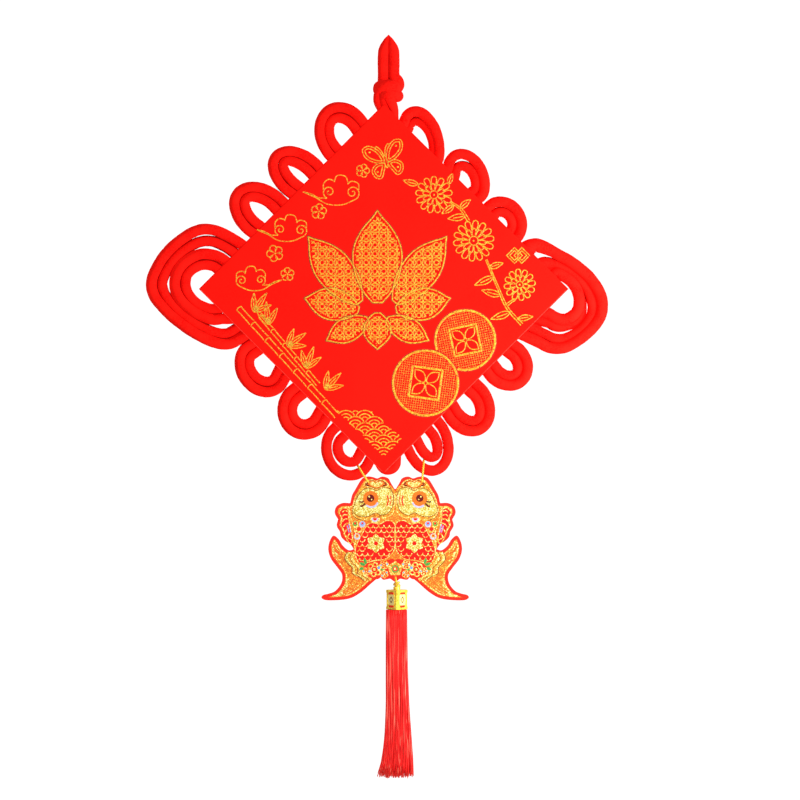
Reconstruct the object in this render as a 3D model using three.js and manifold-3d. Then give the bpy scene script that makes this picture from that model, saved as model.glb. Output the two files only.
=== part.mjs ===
// A hanging ornament: an endless knot tied in doubled plush cord, a velvet-covered board on its corner in
// front of the knot, a pair of fish cut from board below it, and a yarn tassel with a gilt cap.
// Millimetres, +Z up, the front faces -Y and +X is to the right.
// The origin is the inside top of the hanging loop, where a nail or hook carries the ornament.
import * as THREE from 'three';
import { mergeVertices } from 'three/addons/utils/BufferGeometryUtils.js';
import Module from 'manifold-3d';

const wasm = await Module();
wasm.setup();

// Plush cord
const CORD = 9.5;
const CORD_DEEP = 9.2;
const SEAM = 0.4;
const PITCH = CORD + SEAM;
const PAIR = CORD + PITCH;

// Velvet-covered board, a square on its corner
const BOARD = { side: 250, thick: 6, x: -4.7, z: -234, back: -8, edge: 1.5, corner: 2 };
const HALF_DIAGONAL = BOARD.side * Math.SQRT1_2;

// Endless knot behind the board: the falling runs pass in front of and behind the straight rising ones
const RUN = { thick: 8, lift: 3.6, tuck: 3, wide: PAIR };
const FOOT_TUCK = RUN.tuck - SEAM;

// Each edge of the board: where it starts, which way it runs and which way is outward, in X and Z
const EDGES = {
  upperLeft: { start: [0, 1], along: [-1, -1], out: [-1, 1] },
  upperRight: { start: [0, 1], along: [1, -1], out: [1, 1] },
  lowerLeft: { start: [-1, 0], along: [1, -1], out: [-1, -1] },
  lowerRight: { start: [1, 0], along: [-1, -1], out: [1, -1] },
};

// Double loops of the knot. at is the distance along the edge, half the half-width of the outline,
// rise how far out its widest part is, height from there to the tip, lean the slant along the edge,
// slack the opening between the two strands.
const EARS = [
  { name: 'A', edge: 'upperLeft', at: 48.5, half: 27.7, rise: 6.1, height: 33.1, lean: -0.13, slack: 0.2 },
  { name: 'B', edge: 'upperLeft', at: 104, half: 23.9, rise: 9.2, height: 34.2, lean: 0.07, slack: 0.6 },
  { name: 'C', edge: 'upperLeft', at: 154.8, half: 26.3, rise: 8.2, height: 36.2, lean: 0.06, slack: 0.5 },
  { name: 'D', edge: 'upperRight', at: 50, half: 30.4, rise: 6, height: 20.4, lean: -0.6, slack: -3 },
  { name: 'E', edge: 'upperRight', at: 107.6, half: 28.6, rise: 9.4, height: 20, lean: -0.34, slack: 0 },
  { name: 'F', edge: 'upperRight', at: 160.3, half: 26.6, rise: 6.3, height: 18, lean: -0.08, slack: 0 },
  { name: 'G', edge: 'lowerLeft', at: 94.8, half: 29.8, rise: 10.1, height: 25.8, lean: 0.09, slack: 0 },
  { name: 'H', edge: 'lowerLeft', at: 152.3, half: 27.4, rise: 10.1, height: 28, lean: 0.1, slack: 0 },
  { name: 'I', edge: 'lowerLeft', at: 208.6, half: 28.8, rise: 7.7, height: 27.1, lean: 0.16, slack: 2.6 },
  { name: 'J', edge: 'lowerRight', at: 92.5, half: 24.3, rise: 8.2, height: 27.9, lean: 0, slack: 0.3 },
  { name: 'K', edge: 'lowerRight', at: 146.2, half: 25.9, rise: 9.6, height: 31.6, lean: 0.1, slack: 0.3 },
  { name: 'L', edge: 'lowerRight', at: 197.2, half: 25.5, rise: 8.4, height: 31.3, lean: 0.24, slack: 2.6 },
];
const EAR_TURN = 22.5;

// Four nested strands at the left and right corners. Each row of route is a place on the outer outline
// and the place facing it on the rim of the opening, as X, Z, X, Z from the middle of the board.
// depths is how far each strand stands behind the middle, the outer one first.
const WINGS = [
  {
    name: 'left',
    depths: [-1.2, 1.2, -1.2, 1.2],
    from: { edge: 'upperLeft', outer: 185, rim: 228 },
    to: { edge: 'lowerLeft', outer: 66.5, rim: 17.5 },
    route: [
      [-148, 56, -166, 18], [-163, 62, -172, 19], [-181, 61, -177, 18], [-203, 47, -182, 16],
      [-220, 30, -185, 11], [-228, 6, -186, 5], [-225, -10, -184, -1], [-215, -23, -179, -5],
      [-196, -41, -174, -8], [-176, -52, -170, -12], [-157, -57, -166, -14], [-143, -57, -164, -14],
    ],
  },
  {
    name: 'right',
    depths: [-2, 2.4, 7.6, -3],
    from: { edge: 'upperRight', outer: 188, rim: 235 },
    to: { edge: 'lowerRight', outer: 66, rim: 25.5 },
    route: [
      [140, 49, 170, 9], [150, 49, 171, 4], [162, 45, 172, 0], [174, 37, 174, -4],
      [188, 27, 176, -8], [201, 16.5, 178, -11], [210, 3, 180, -14], [216, -10, 181, -16],
      [216, -23, 181, -18], [210, -39, 179, -20], [198, -51, 176, -22], [181, -61, 171, -23],
      [166, -64, 167, -22], [152, -59, 162, -20],
    ],
  },
];
const WING_STRANDS = 4;

// Hanging loop, the knot under it and the bend of cord at the bottom corner
const LOOP = { radius: 5.1, foot: -29.6 };
const NECK = { half: CORD / 2 + 0.2, top: LOOP.foot - SEAM, middle: -58, end: -75.4 };
const WRAPS = [
  { x: 0.2, z: -39, tilt: 12, wide: 10.4, deep: 8.8 },
  { x: -0.6, z: -49, tilt: -7, wide: 9.6, deep: 8.8 },
];
const BEND = { x: -0.6, z: -399.6, radius: 7.3, left: -399.2, right: -387.8 };

// Pair of fish, one board. Each row is a stretch of the left half's outline from corner to corner,
// as distance from the middle line and distance below the top.
const FISH = { x: 6.7, top: -414.2, thick: 3 };
const FISH_OUTLINE = [
  { part: 'head', pieces: 9, points: [[1.5, 11], [11.6, 0.7], [25, 0.9], [38, 12.3], [43.8, 25]] },
  { part: 'fin upper lobe', pieces: 4, points: [[43.8, 25], [51, 26], [58, 33], [55.3, 40.3]] },
  { part: 'fin middle lobe', pieces: 3, points: [[55.3, 40.3], [56.4, 46], [52, 53]] },
  { part: 'fin lower lobe', pieces: 3, points: [[52, 53], [50.5, 59], [41, 68.6]] },
  { part: 'tail upper lobe', pieces: 9, points: [[41, 68.6], [50, 66], [59.5, 56.4], [63.8, 64], [61, 80], [52.5, 91]] },
  { part: 'tail lower lobe', pieces: 7, points: [[52.5, 91], [52, 100], [60, 111], [70, 115.7], [67, 118.3]] },
  { part: 'belly', pieces: 8, points: [[67, 118.3], [45.7, 116.4], [28, 108], [13.8, 98.4], [0, 100.3]] },
];
const HOLE = { radius: 1.9, sides: 10 };
const HEAD_HOLE = { across: 25.8, down: 4.6 };
const FOOT_HOLE = { across: 0, down: 95.7 };

// Gold strings
const STRING = { radius: 1, sides: 6, front: 6.4, split: 0.4 };
const TIES = [
  { side: 'left', ear: 'I', angle: 17 },
  { side: 'right', ear: 'L', angle: 30 },
];
const SMALL_KNOT = { radius: 2.5, z: -517 };

// Gilt cap, square and seen on its corner, with a round collar
const CAP = { x: 7.9, top: -522.6, bottom: -540.9, corner: 10.4, waist: 9.9, band: 2.2, collar: 3.4 };
const COLLAR_TOP = SMALL_KNOT.z - SMALL_KNOT.radius - SEAM;

// Tassel. Each row of the skirt gives the distance below the head, the middle in X, the half-width
// and the half-depth. Each ring of locks gives its share of that half-width and its count.
const HEAD = { top: CAP.bottom - SEAM, deep: 4, radius: 10.1, sides: 12 };
const SKIRT = [
  { down: 0, x: 7.6, half: 8.9, deep: 8.6 },
  { down: 48, x: 7.9, half: 9.5, deep: 8.9 },
  { down: 90, x: 8.5, half: 10.4, deep: 9.6 },
  { down: 120, x: 8.8, half: 12.1, deep: 10.8 },
  { down: 142, x: 8, half: 14.4, deep: 12.4 },
  { down: 157.5, x: 5.6, half: 17.8, deep: 14.5 },
];
const RINGS = [
  { share: 1, count: 22 },
  { share: 0.73, count: 16 },
  { share: 0.46, count: 10 },
  { share: 0.19, count: 4 },
];
const LOCK = { corner: 1.1, sides: 3, uneven: 3 };

const PLUSH = finish('#ff281e', 0.9, 0);
const VELVET = finish('#ff1914', 0.95, 0);
const GOLD_THREAD = finish('#dcaa32', 0.5, 0.3);
const GLITTER_BOARD = finish('#fa5a1e', 0.6, 0.1);
const GILT = finish('#fad732', 0.35, 0.6);
const YARN = finish('#e61919', 0.7, 0);

const ornament = new THREE.Group();

function finish(color, roughness, metalness) {
  return new THREE.MeshStandardMaterial({ color, roughness, metalness });
}

function add(name, geometry, material) {
  const mesh = new THREE.Mesh(geometry, material);
  mesh.name = name;
  ornament.add(mesh);
}

// Joins and cuts. Edges shorter than MERGE are left out of a joined solid.
const MERGE = 0.05;

function toSolid(geometry) {
  const bare = geometry.clone();
  bare.deleteAttribute('normal');
  bare.deleteAttribute('uv');
  const merged = mergeVertices(bare, 1e-4);
  return new wasm.Manifold(new wasm.Mesh({
    numProp: 3,
    vertProperties: new Float32Array(merged.attributes.position.array),
    triVerts: new Uint32Array(merged.index.array),
  }));
}

function toGeometry(solid) {
  const mesh = solid.simplify(MERGE).getMesh();
  const geometry = new THREE.BufferGeometry();
  geometry.setAttribute('position', new THREE.BufferAttribute(new Float32Array(mesh.vertProperties), 3));
  geometry.setIndex(Array.from(mesh.triVerts));
  return geometry;
}

function join(geometries) {
  return toGeometry(geometries.map(toSolid).reduce((whole, piece) => whole.add(piece)));
}

// Places on the board
function onEdge(edge, along, out, y = 0) {
  const { start, along: run, out: outward } = EDGES[edge];
  const x = start[0] * HALF_DIAGONAL + (run[0] * along + outward[0] * out) * Math.SQRT1_2;
  const z = start[1] * HALF_DIAGONAL + (run[1] * along + outward[1] * out) * Math.SQRT1_2;
  return new THREE.Vector3(BOARD.x + x, y, BOARD.z + z);
}

function fromMiddle(x, z, y = 0) {
  return new THREE.Vector3(BOARD.x + x, y, BOARD.z + z);
}

// A route that is stepped at its own points, so that nested strands turn together
class Route extends THREE.CatmullRomCurve3 {
  getUtoTmapping(u) {
    return u;
  }
}

function alongRoute(section, points) {
  const extrudePath = new Route(points, false, 'centripetal');
  return new THREE.ExtrudeGeometry(section, { steps: points.length - 1, extrudePath, bevelEnabled: false });
}

// A thin bar of regular section
function bar(points, corner, sides) {
  const section = Array.from({ length: sides }, (_, i) => {
    const turn = (2 * Math.PI * i) / sides;
    return new THREE.Vector2(corner * Math.cos(turn), corner * Math.sin(turn));
  });
  return alongRoute(new THREE.Shape(section), points);
}

// Plush cord: six sides, with corners towards the strands beside it. The section's X is its depth.
function cord(points) {
  const [wide, deep] = [CORD / 2, CORD_DEEP / 2];
  const corners = [[0, wide], [-deep, wide / 2], [-deep, -wide / 2], [0, -wide], [deep, -wide / 2], [deep, wide / 2]];
  return alongRoute(new THREE.Shape(corners.map(([x, y]) => new THREE.Vector2(x, y))), points);
}

// Ears
function footHalf(ear) {
  return ear.half * Math.sqrt(1 - (ear.rise / ear.height) ** 2);
}

// The shape that the outline of an ear has when it is drawn in by inset on every side
function earShape(ear, inset) {
  const reach = ear.rise + ear.height - inset;
  const foot = footHalf(ear) - inset;
  const rise = THREE.MathUtils.clamp(reach - 0.9 * foot, 0, ear.rise);
  const half = foot + (ear.half - inset - foot) * (rise / ear.rise);
  return { foot, rise, half, height: reach - rise };
}

function earPoint(ear, inset, degrees) {
  const { rise, half, height } = earShape(ear, inset);
  const turn = THREE.MathUtils.degToRad(degrees);
  const out = rise + height * Math.sin(turn);
  return { along: ear.at + half * Math.cos(turn) + ear.lean * out, out };
}

// Where a leaning or tightly nested ear has less room than a cord's width, the inner strand stands back
function innerBack(ear) {
  const room = (PITCH + ear.slack) * Math.cos(Math.atan(ear.lean)) - 2 * SEAM;
  return (Math.max(0, PITCH - room) * 2 * CORD_DEEP) / CORD;
}

function earRoute(ear, inset, back) {
  const { foot } = earShape(ear, inset);
  const places = [];
  for (const out of [-FOOT_TUCK, -FOOT_TUCK / 2]) places.push({ along: ear.at - foot, out });
  for (let degrees = 180; degrees >= 0; degrees -= EAR_TURN) places.push(earPoint(ear, inset, degrees));
  for (const out of [-FOOT_TUCK / 2, -FOOT_TUCK]) places.push({ along: ear.at + foot, out });
  return places.map(({ along, out }) => onEdge(ear.edge, along, out, back));
}

function addEars() {
  for (const ear of EARS) {
    const outer = CORD / 2;
    const inner = outer + PITCH + ear.slack;
    add(`ear_${ear.name}_outer`, cord(earRoute(ear, outer, 0)), PLUSH);
    add(`ear_${ear.name}_inner`, cord(earRoute(ear, inner, innerBack(ear))), PLUSH);
  }
}

// Wings
function wingShare(strand) {
  return (strand + 0.5) / WING_STRANDS;
}

function wingFoot({ edge, outer, rim }, strand, out, y) {
  return onEdge(edge, THREE.MathUtils.lerp(outer, rim, wingShare(strand)), out, y);
}

function wingRoute(wing, strand) {
  const y = wing.depths[strand];
  const share = wingShare(strand);
  const middle = wing.route.map(([outX, outZ, rimX, rimZ]) => fromMiddle(
    THREE.MathUtils.lerp(outX, rimX, share),
    THREE.MathUtils.lerp(outZ, rimZ, share),
    y,
  ));
  return [
    wingFoot(wing.from, strand, -FOOT_TUCK, y),
    wingFoot(wing.from, strand, -FOOT_TUCK / 2, y),
    ...middle,
    wingFoot(wing.to, strand, -FOOT_TUCK / 2, y),
    wingFoot(wing.to, strand, -FOOT_TUCK, y),
  ];
}

function addWings() {
  for (const wing of WINGS) {
    for (let strand = 0; strand < WING_STRANDS; strand++) {
      add(`wing_${wing.name}_${strand + 1}`, cord(wingRoute(wing, strand)), PLUSH);
    }
  }
}

// Woven middle of the knot. Places along an edge where doubled runs reach it, in order.
function runPlaces(edge) {
  const places = [];
  for (const ear of EARS.filter((one) => one.edge === edge)) {
    const off = footHalf(ear) - PAIR / 2;
    places.push(ear.at - off, ear.at + off);
  }
  for (const foot of WINGS.flatMap((wing) => [wing.from, wing.to]).filter((one) => one.edge === edge)) {
    places.push(THREE.MathUtils.lerp(foot.outer, foot.rim, 0.25));
    places.push(THREE.MathUtils.lerp(foot.outer, foot.rim, 0.75));
  }
  return places.sort((a, b) => a - b);
}

// Share of its own length at which a run meets a run of the other family
function crossing(run, other) {
  const slant = (run.to - run.from) / BOARD.side;
  const otherSlant = (other.to - other.from) / BOARD.side;
  return (other.from + otherSlant * run.from) / BOARD.side / (1 - slant * otherSlant);
}

// One doubled run, as wide as its two cords. In the side view its line passes through the given lifts.
function runSolid(start, end, shares, lifts) {
  const length = start.distanceTo(end);
  const wave = shares.map((share, i) => [share * length, lifts[i]]);
  const line = [[0, 0], ...wave, [length, 0]];
  const front = line.map(([x, y]) => new THREE.Vector2(x, y - RUN.thick / 2));
  const back = line.map(([x, y]) => new THREE.Vector2(x, y + RUN.thick / 2)).reverse();
  const profile = new THREE.Shape([...front, ...back]);
  const geometry = new THREE.ExtrudeGeometry(profile, { depth: RUN.wide, bevelEnabled: false });
  const direction = end.clone().sub(start).normalize();
  const deep = new THREE.Vector3(0, 1, 0);
  const across = direction.clone().cross(deep);
  const turn = new THREE.Matrix4().makeBasis(direction, deep, across);
  geometry.translate(0, 0, -RUN.wide / 2);
  geometry.applyMatrix4(turn);
  geometry.translate(start.x, start.y, start.z);
  return geometry;
}

function family(fromEdge, toEdge) {
  const ends = runPlaces(toEdge);
  return runPlaces(fromEdge).map((from, i) => ({ from, to: ends[i] }));
}

function addKnotBody() {
  const falling = family('upperLeft', 'lowerRight');
  const rising = family('upperRight', 'lowerLeft');
  const solids = [];
  falling.forEach((run, i) => {
    const shares = rising.map((other) => crossing(run, other));
    const start = onEdge('upperLeft', run.from, 0);
    const end = onEdge('lowerRight', run.to, 0);
    const lifts = shares.map((_, j) => ((i + j) % 2 ? -RUN.lift : RUN.lift));
    solids.push(runSolid(start, end, shares, lifts));
  });
  rising.forEach((run) => {
    const start = onEdge('upperRight', run.from, 0);
    const end = onEdge('lowerLeft', run.to, 0);
    solids.push(runSolid(start, end, [], []));
  });
  const inside = BOARD.side - 2 * RUN.tuck;
  const limit = new THREE.BoxGeometry(inside, inside, inside);
  limit.rotateY(Math.PI / 4);
  limit.translate(BOARD.x, 0, BOARD.z);
  add('knot_body', toGeometry(toSolid(join(solids)).intersect(toSolid(limit))), PLUSH);
}

// Board
function addBoard() {
  const reach = HALF_DIAGONAL - BOARD.edge * Math.SQRT2;
  const nip = BOARD.corner;
  const outline = new THREE.Shape();
  outline.moveTo(reach - nip, -nip);
  outline.quadraticCurveTo(reach, 0, reach - nip, nip);
  outline.lineTo(nip, reach - nip);
  outline.quadraticCurveTo(0, reach, -nip, reach - nip);
  outline.lineTo(nip - reach, nip);
  outline.quadraticCurveTo(-reach, 0, nip - reach, -nip);
  outline.lineTo(-nip, nip - reach);
  outline.quadraticCurveTo(0, -reach, nip, nip - reach);
  const geometry = new THREE.ExtrudeGeometry(outline, {
    depth: BOARD.thick - 2 * BOARD.edge,
    bevelThickness: BOARD.edge,
    bevelSize: BOARD.edge,
    bevelSegments: 2,
    curveSegments: 3,
  });
  geometry.rotateX(Math.PI / 2);
  geometry.translate(BOARD.x, BOARD.back - BOARD.edge, BOARD.z);
  add('board', geometry, VELVET);
}

// Hanging loop, top knot and bottom bend
function arc(x, z, radius, fromDegrees, toDegrees, count) {
  return Array.from({ length: count }, (_, i) => {
    const turn = THREE.MathUtils.degToRad(THREE.MathUtils.lerp(fromDegrees, toDegrees, i / (count - 1)));
    return new THREE.Vector3(x + radius * Math.cos(turn), 0, z + radius * Math.sin(turn));
  });
}

function addLoop() {
  const middle = CORD / 2 - LOOP.radius;
  const points = [
    new THREE.Vector3(-LOOP.radius, 0, LOOP.foot),
    new THREE.Vector3(-LOOP.radius, 0, (LOOP.foot + middle) / 2),
    ...arc(0, middle, LOOP.radius, 180, 0, 7),
    new THREE.Vector3(LOOP.radius, 0, (LOOP.foot + middle) / 2),
    new THREE.Vector3(LOOP.radius, 0, LOOP.foot),
  ];
  add('hang_loop', cord(points), PLUSH);
}

function addTopKnot() {
  const strands = [-1, 1].map((side) => cord([
    new THREE.Vector3(side * LOOP.radius, 0, NECK.top),
    new THREE.Vector3(side * NECK.half - 0.6, 0, NECK.middle),
    new THREE.Vector3(side * NECK.half + BOARD.x, 0, NECK.end),
  ]));
  const wraps = WRAPS.map(({ x, z, tilt, wide, deep }) => {
    const ring = new THREE.TorusGeometry(wide, CORD / 2, 6, 14);
    ring.scale(1, deep / wide, 1);
    ring.rotateY(THREE.MathUtils.degToRad(-tilt));
    ring.translate(x, 0, z);
    return ring;
  });
  add('top_knot', join([...strands, ...wraps]), PLUSH);
}

function addBend() {
  const points = [
    new THREE.Vector3(BEND.x - BEND.radius, 0, BEND.left),
    ...arc(BEND.x, BEND.z, BEND.radius, 190, 350, 7),
    new THREE.Vector3(BEND.x + BEND.radius, 0, (BEND.z + BEND.right) / 2),
    new THREE.Vector3(BEND.x + BEND.radius, 0, BEND.right),
  ];
  add('bottom_bend', cord(points), PLUSH);
}

// Fish
function holePath(across, down) {
  const hole = new THREE.Path();
  hole.absarc(across, -down, HOLE.radius, 0, 2 * Math.PI, true);
  return hole;
}

function addFish() {
  const left = [];
  for (const { pieces, points } of FISH_OUTLINE) {
    const curve = new THREE.SplineCurve(points.map(([across, down]) => new THREE.Vector2(-across, -down)));
    left.push(...curve.getPoints(pieces).slice(0, -1));
  }
  const foot = new THREE.Vector2(0, -FISH_OUTLINE.at(-1).points.at(-1)[1]);
  const right = left.map(({ x, y }) => new THREE.Vector2(-x, y)).reverse();
  const outline = new THREE.Shape([...left, foot, ...right]);
  outline.holes.push(holePath(-HEAD_HOLE.across, HEAD_HOLE.down));
  outline.holes.push(holePath(HEAD_HOLE.across, HEAD_HOLE.down));
  outline.holes.push(holePath(FOOT_HOLE.across, FOOT_HOLE.down));
  const geometry = new THREE.ExtrudeGeometry(outline, {
    depth: FISH.thick,
    bevelEnabled: false,
    curveSegments: HOLE.sides,
  });
  geometry.rotateX(Math.PI / 2);
  geometry.translate(FISH.x, FISH.thick / 2, FISH.top);
  add('fish_pair', geometry, GLITTER_BOARD);
}

// Gold strings
function fishPlace({ across, down }, side) {
  return new THREE.Vector3(FISH.x + side * across, 0, FISH.top - down);
}

function tiePlace(tie) {
  const ear = EARS.find((one) => one.name === tie.ear);
  const inset = CORD + SEAM + STRING.radius + 0.2;
  const { along, out } = earPoint(ear, inset, tie.angle);
  return onEdge(ear.edge, along, out);
}

// A loop of string round the ear's outer strand and through the hole in the fish, tied at the back
function addTies() {
  for (const tie of TIES) {
    const upper = tiePlace(tie);
    const lower = fishPlace(HEAD_HOLE, tie.side === 'left' ? -1 : 1);
    const at = (share, y) => upper.clone().lerp(lower, share).setY(y);
    const points = [
      at(0.5, STRING.front - STRING.split),
      at(0.25, STRING.front),
      at(0.08, STRING.front * 0.8),
      at(0, STRING.front * 0.4),
      at(0, -STRING.front * 0.4),
      at(0.08, -STRING.front * 0.8),
      at(0.25, -STRING.front),
      at(0.5, -STRING.front),
      at(0.8, -STRING.front * 0.7),
      at(1, -FISH.thick * 0.6),
      at(1, FISH.thick * 0.6),
      at(0.8, STRING.front * 0.7),
      at(0.5 + 2.5 * STRING.radius / upper.distanceTo(lower), STRING.front),
    ];
    add(`string_${tie.side}`, bar(points, STRING.radius, STRING.sides), GOLD_THREAD);
  }
}

function addTasselString() {
  const hole = fishPlace(FOOT_HOLE, 1);
  const knot = new THREE.Vector3(CAP.x, 0, SMALL_KNOT.z);
  const at = (share, y) => hole.clone().lerp(knot, share).setY(y);
  const points = [
    at(1, -1), at(0.6, -3.1), at(0.25, -3.1), at(0, -1.2), at(0, 1.2), at(0.25, 3.1), at(0.6, 3.1), at(1, 1),
  ];
  const loop = bar(points, STRING.radius, STRING.sides);
  const ball = new THREE.SphereGeometry(SMALL_KNOT.radius, 8, 6);
  ball.rotateX(Math.PI / 2);
  ball.translate(knot.x, knot.y, knot.z);
  add('tassel_string', join([loop, ball]), GOLD_THREAD);
}

// Cap
function addCap() {
  const { top, bottom, corner, waist, band } = CAP;
  const profile = [
    [0, bottom], [corner, bottom], [corner, bottom + band], [waist, bottom + band + 0.5],
    [waist, top - band - 0.5], [corner, top - band], [corner, top], [0, top],
  ];
  const box = new THREE.LatheGeometry(profile.map(([x, y]) => new THREE.Vector2(x, y)), 4);
  const sunk = 1;
  const collar = new THREE.CylinderGeometry(CAP.collar, CAP.collar, COLLAR_TOP - top + sunk, 10);
  collar.translate(0, (COLLAR_TOP + top - sunk) / 2, 0);
  const whole = join([box, collar]);
  whole.rotateX(Math.PI / 2);
  whole.translate(CAP.x, 0, 0);
  add('tassel_cap', whole, GILT);
}

// Tassel
function lockRoute(share, turn, length) {
  const end = SKIRT.at(-1).down;
  const start = new THREE.Vector3(
    SKIRT[0].x + share * SKIRT[0].half * Math.cos(turn),
    share * SKIRT[0].deep * Math.sin(turn),
    HEAD.top - HEAD.deep / 2,
  );
  const rest = SKIRT.slice(1).map(({ down, x, half, deep }) => new THREE.Vector3(
    x + share * half * Math.cos(turn),
    share * deep * Math.sin(turn),
    HEAD.top - HEAD.deep - down * (length / end),
  ));
  return [start, ...rest];
}

function addTassel() {
  const head = new THREE.CylinderGeometry(HEAD.radius, HEAD.radius, HEAD.deep, HEAD.sides);
  head.rotateX(Math.PI / 2);
  head.translate(SKIRT[0].x, 0, HEAD.top - HEAD.deep / 2);
  const locks = [];
  RINGS.forEach(({ share, count }, ring) => {
    for (let i = 0; i < count; i++) {
      const turn = (2 * Math.PI * (i + ring / 2)) / count;
      const length = SKIRT.at(-1).down + LOCK.uneven * Math.sin(7 * i + 3 * ring);
      locks.push(bar(lockRoute(share, turn, length), LOCK.corner, LOCK.sides));
    }
  });
  add('tassel', join([head, ...locks]), YARN);
}

addBoard();
addKnotBody();
addEars();
addWings();
addLoop();
addTopKnot();
addBend();
addTies();
addFish();
addTasselString();
addCap();
addTassel();

export default ornament;
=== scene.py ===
"""A red knotted wall hanging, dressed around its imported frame.

A doubled plush cord is tied as an endless knot behind a velvet-covered board that stands on its corner. A
pair of fish cut from glitter board hangs below it on gold strings, and a yarn tassel with a gilt cap hangs
from the fish.
Tables are in millimetres in the frame's own axes: X to the right, Z up, and the front faces -Y.
"""

import logging
import math
import random
from collections.abc import Callable, Iterable
from dataclasses import dataclass, field
from enum import Enum

import bmesh
import bpy
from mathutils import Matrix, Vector, noise
from mathutils.geometry import tessellate_polygon


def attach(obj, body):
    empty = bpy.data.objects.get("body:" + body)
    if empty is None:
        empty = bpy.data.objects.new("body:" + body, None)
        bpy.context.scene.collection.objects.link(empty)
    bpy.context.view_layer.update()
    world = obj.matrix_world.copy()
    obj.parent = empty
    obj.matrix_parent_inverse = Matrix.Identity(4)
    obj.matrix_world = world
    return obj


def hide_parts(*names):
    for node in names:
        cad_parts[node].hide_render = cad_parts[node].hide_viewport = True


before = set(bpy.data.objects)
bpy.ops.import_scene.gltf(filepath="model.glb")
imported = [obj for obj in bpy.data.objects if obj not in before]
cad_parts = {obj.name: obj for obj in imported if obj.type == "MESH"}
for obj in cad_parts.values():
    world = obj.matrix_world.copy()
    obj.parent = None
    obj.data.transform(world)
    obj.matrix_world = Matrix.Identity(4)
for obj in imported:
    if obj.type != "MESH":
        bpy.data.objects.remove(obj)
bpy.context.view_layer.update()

MM = 0.001
HALF_SQUARE = math.sqrt(0.5)
BODY = "root"

logging.basicConfig(level=logging.INFO, format="%(message)s")
log = logging.getLogger("ornament")

Point = tuple[float, float]
Line = list[Point]
ToPlace = Callable[[Point, float], Vector]


# Colours and nodes

Shade = tuple[float, float, float, float]
Socket = bpy.types.NodeSocket


def linear(hex_colour: str) -> Shade:
    """Turns an sRGB hex colour to linear RGBA.

    Args:
        hex_colour: a colour such as "#ff281e".

    Returns:
        The four linear channels, with full alpha.
    """
    parts = [int(hex_colour[i : i + 2], 16) / 255 for i in (1, 3, 5)]
    red, green, blue = (p / 12.92 if p <= 0.04045 else ((p + 0.055) / 1.055) ** 2.4 for p in parts)
    return red, green, blue, 1.0


def feed(node: bpy.types.Node, inputs: dict[str | int, object]) -> None:
    """Sets and links a node's inputs.

    Args:
        node: the node.
        inputs: input name or number to a value, or to the output socket that feeds it.
    """
    for name, value in inputs.items():
        if isinstance(value, Socket):
            node.id_data.links.new(value, node.inputs[name])
        else:
            node.inputs[name].default_value = value


def add_node(
    tree: bpy.types.NodeTree, kind: str, inputs: dict[str | int, object] | None = None, **settings: object
) -> bpy.types.Node:
    """Adds one node with its settings, values and links.

    Args:
        tree: the node tree.
        kind: the node's type name.
        inputs: input name or number to a value, or to the output socket that feeds it.
        settings: the node's own properties.

    Returns:
        The new node.
    """
    node = tree.nodes.new(kind)
    for name, value in settings.items():
        setattr(node, name, value)
    feed(node, inputs or {})
    return node


def start_material(
    name: str, stretch: tuple[float, float, float] = (1, 1, 1)
) -> tuple[bpy.types.Material, bpy.types.Node, Socket]:
    """Starts a material.

    Args:
        name: what the real thing is made of.
        stretch: the scale of its pattern along X, Y and Z.

    Returns:
        The material, its Principled shader and the surface's own place in metres.
    """
    material = bpy.data.materials.new(name)
    material.use_nodes = True
    tree = material.node_tree
    own = add_node(tree, "ShaderNodeTexCoord").outputs["Object"]
    where = add_node(tree, "ShaderNodeMapping", {"Vector": own, "Scale": stretch})
    return material, tree.nodes["Principled BSDF"], where.outputs["Vector"]


def laid_over(value: Socket, low: float, high: float, under: Shade | Socket, top: Shade | Socket) -> Socket:
    """Lays one shade over another where a value is high.

    Args:
        value: the value's socket.
        low: the value up to which only the shade under it shows.
        high: the value from which only the top shade shows.
        under: the shade under it.
        top: the top shade.

    Returns:
        The colour's socket.
    """
    tree = value.id_data
    share = add_node(tree, "ShaderNodeMapRange", {"Value": value, "From Min": low, "From Max": high})
    mixed = add_node(tree, "ShaderNodeMix", {0: share.outputs["Result"], 6: under, 7: top}, data_type="RGBA")
    return mixed.outputs[2]


@dataclass(frozen=True)
class Grain:
    """Soft patches of two shades, such as tufts of pile, ink on board or turns of film.

    Attributes:
        size_mm: the size of one patch.
        low: the noise value up to which only the first shade shows.
        high: the noise value from which only the second shade shows.
        detail: how many finer layers the patches have.
    """

    size_mm: float
    low: float
    high: float
    detail: float = 2.0

    def shades(self, where: Socket, first: Shade | Socket, second: Shade | Socket) -> tuple[Socket, Socket]:
        """Lays the second shade over the first in patches.

        Args:
            where: the surface's own place.
            first: the first shade.
            second: the second shade.

        Returns:
            The colour's socket and that of the patches' height.
        """
        scale = 1 / (self.size_mm * MM)
        patches = add_node(
            where.id_data, "ShaderNodeTexNoise", {"Vector": where, "Scale": scale, "Detail": self.detail}
        )
        height = patches.outputs["Fac"]
        return laid_over(height, self.low, self.high, first, second), height


def raised(height: Socket, strength: float, height_mm: float) -> Socket:
    """The normal of a surface whose grain stands height_mm above its ground."""
    grain = {"Height": height, "Strength": strength, "Distance": height_mm * MM}
    return add_node(height.id_data, "ShaderNodeBump", grain).outputs["Normal"]


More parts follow.
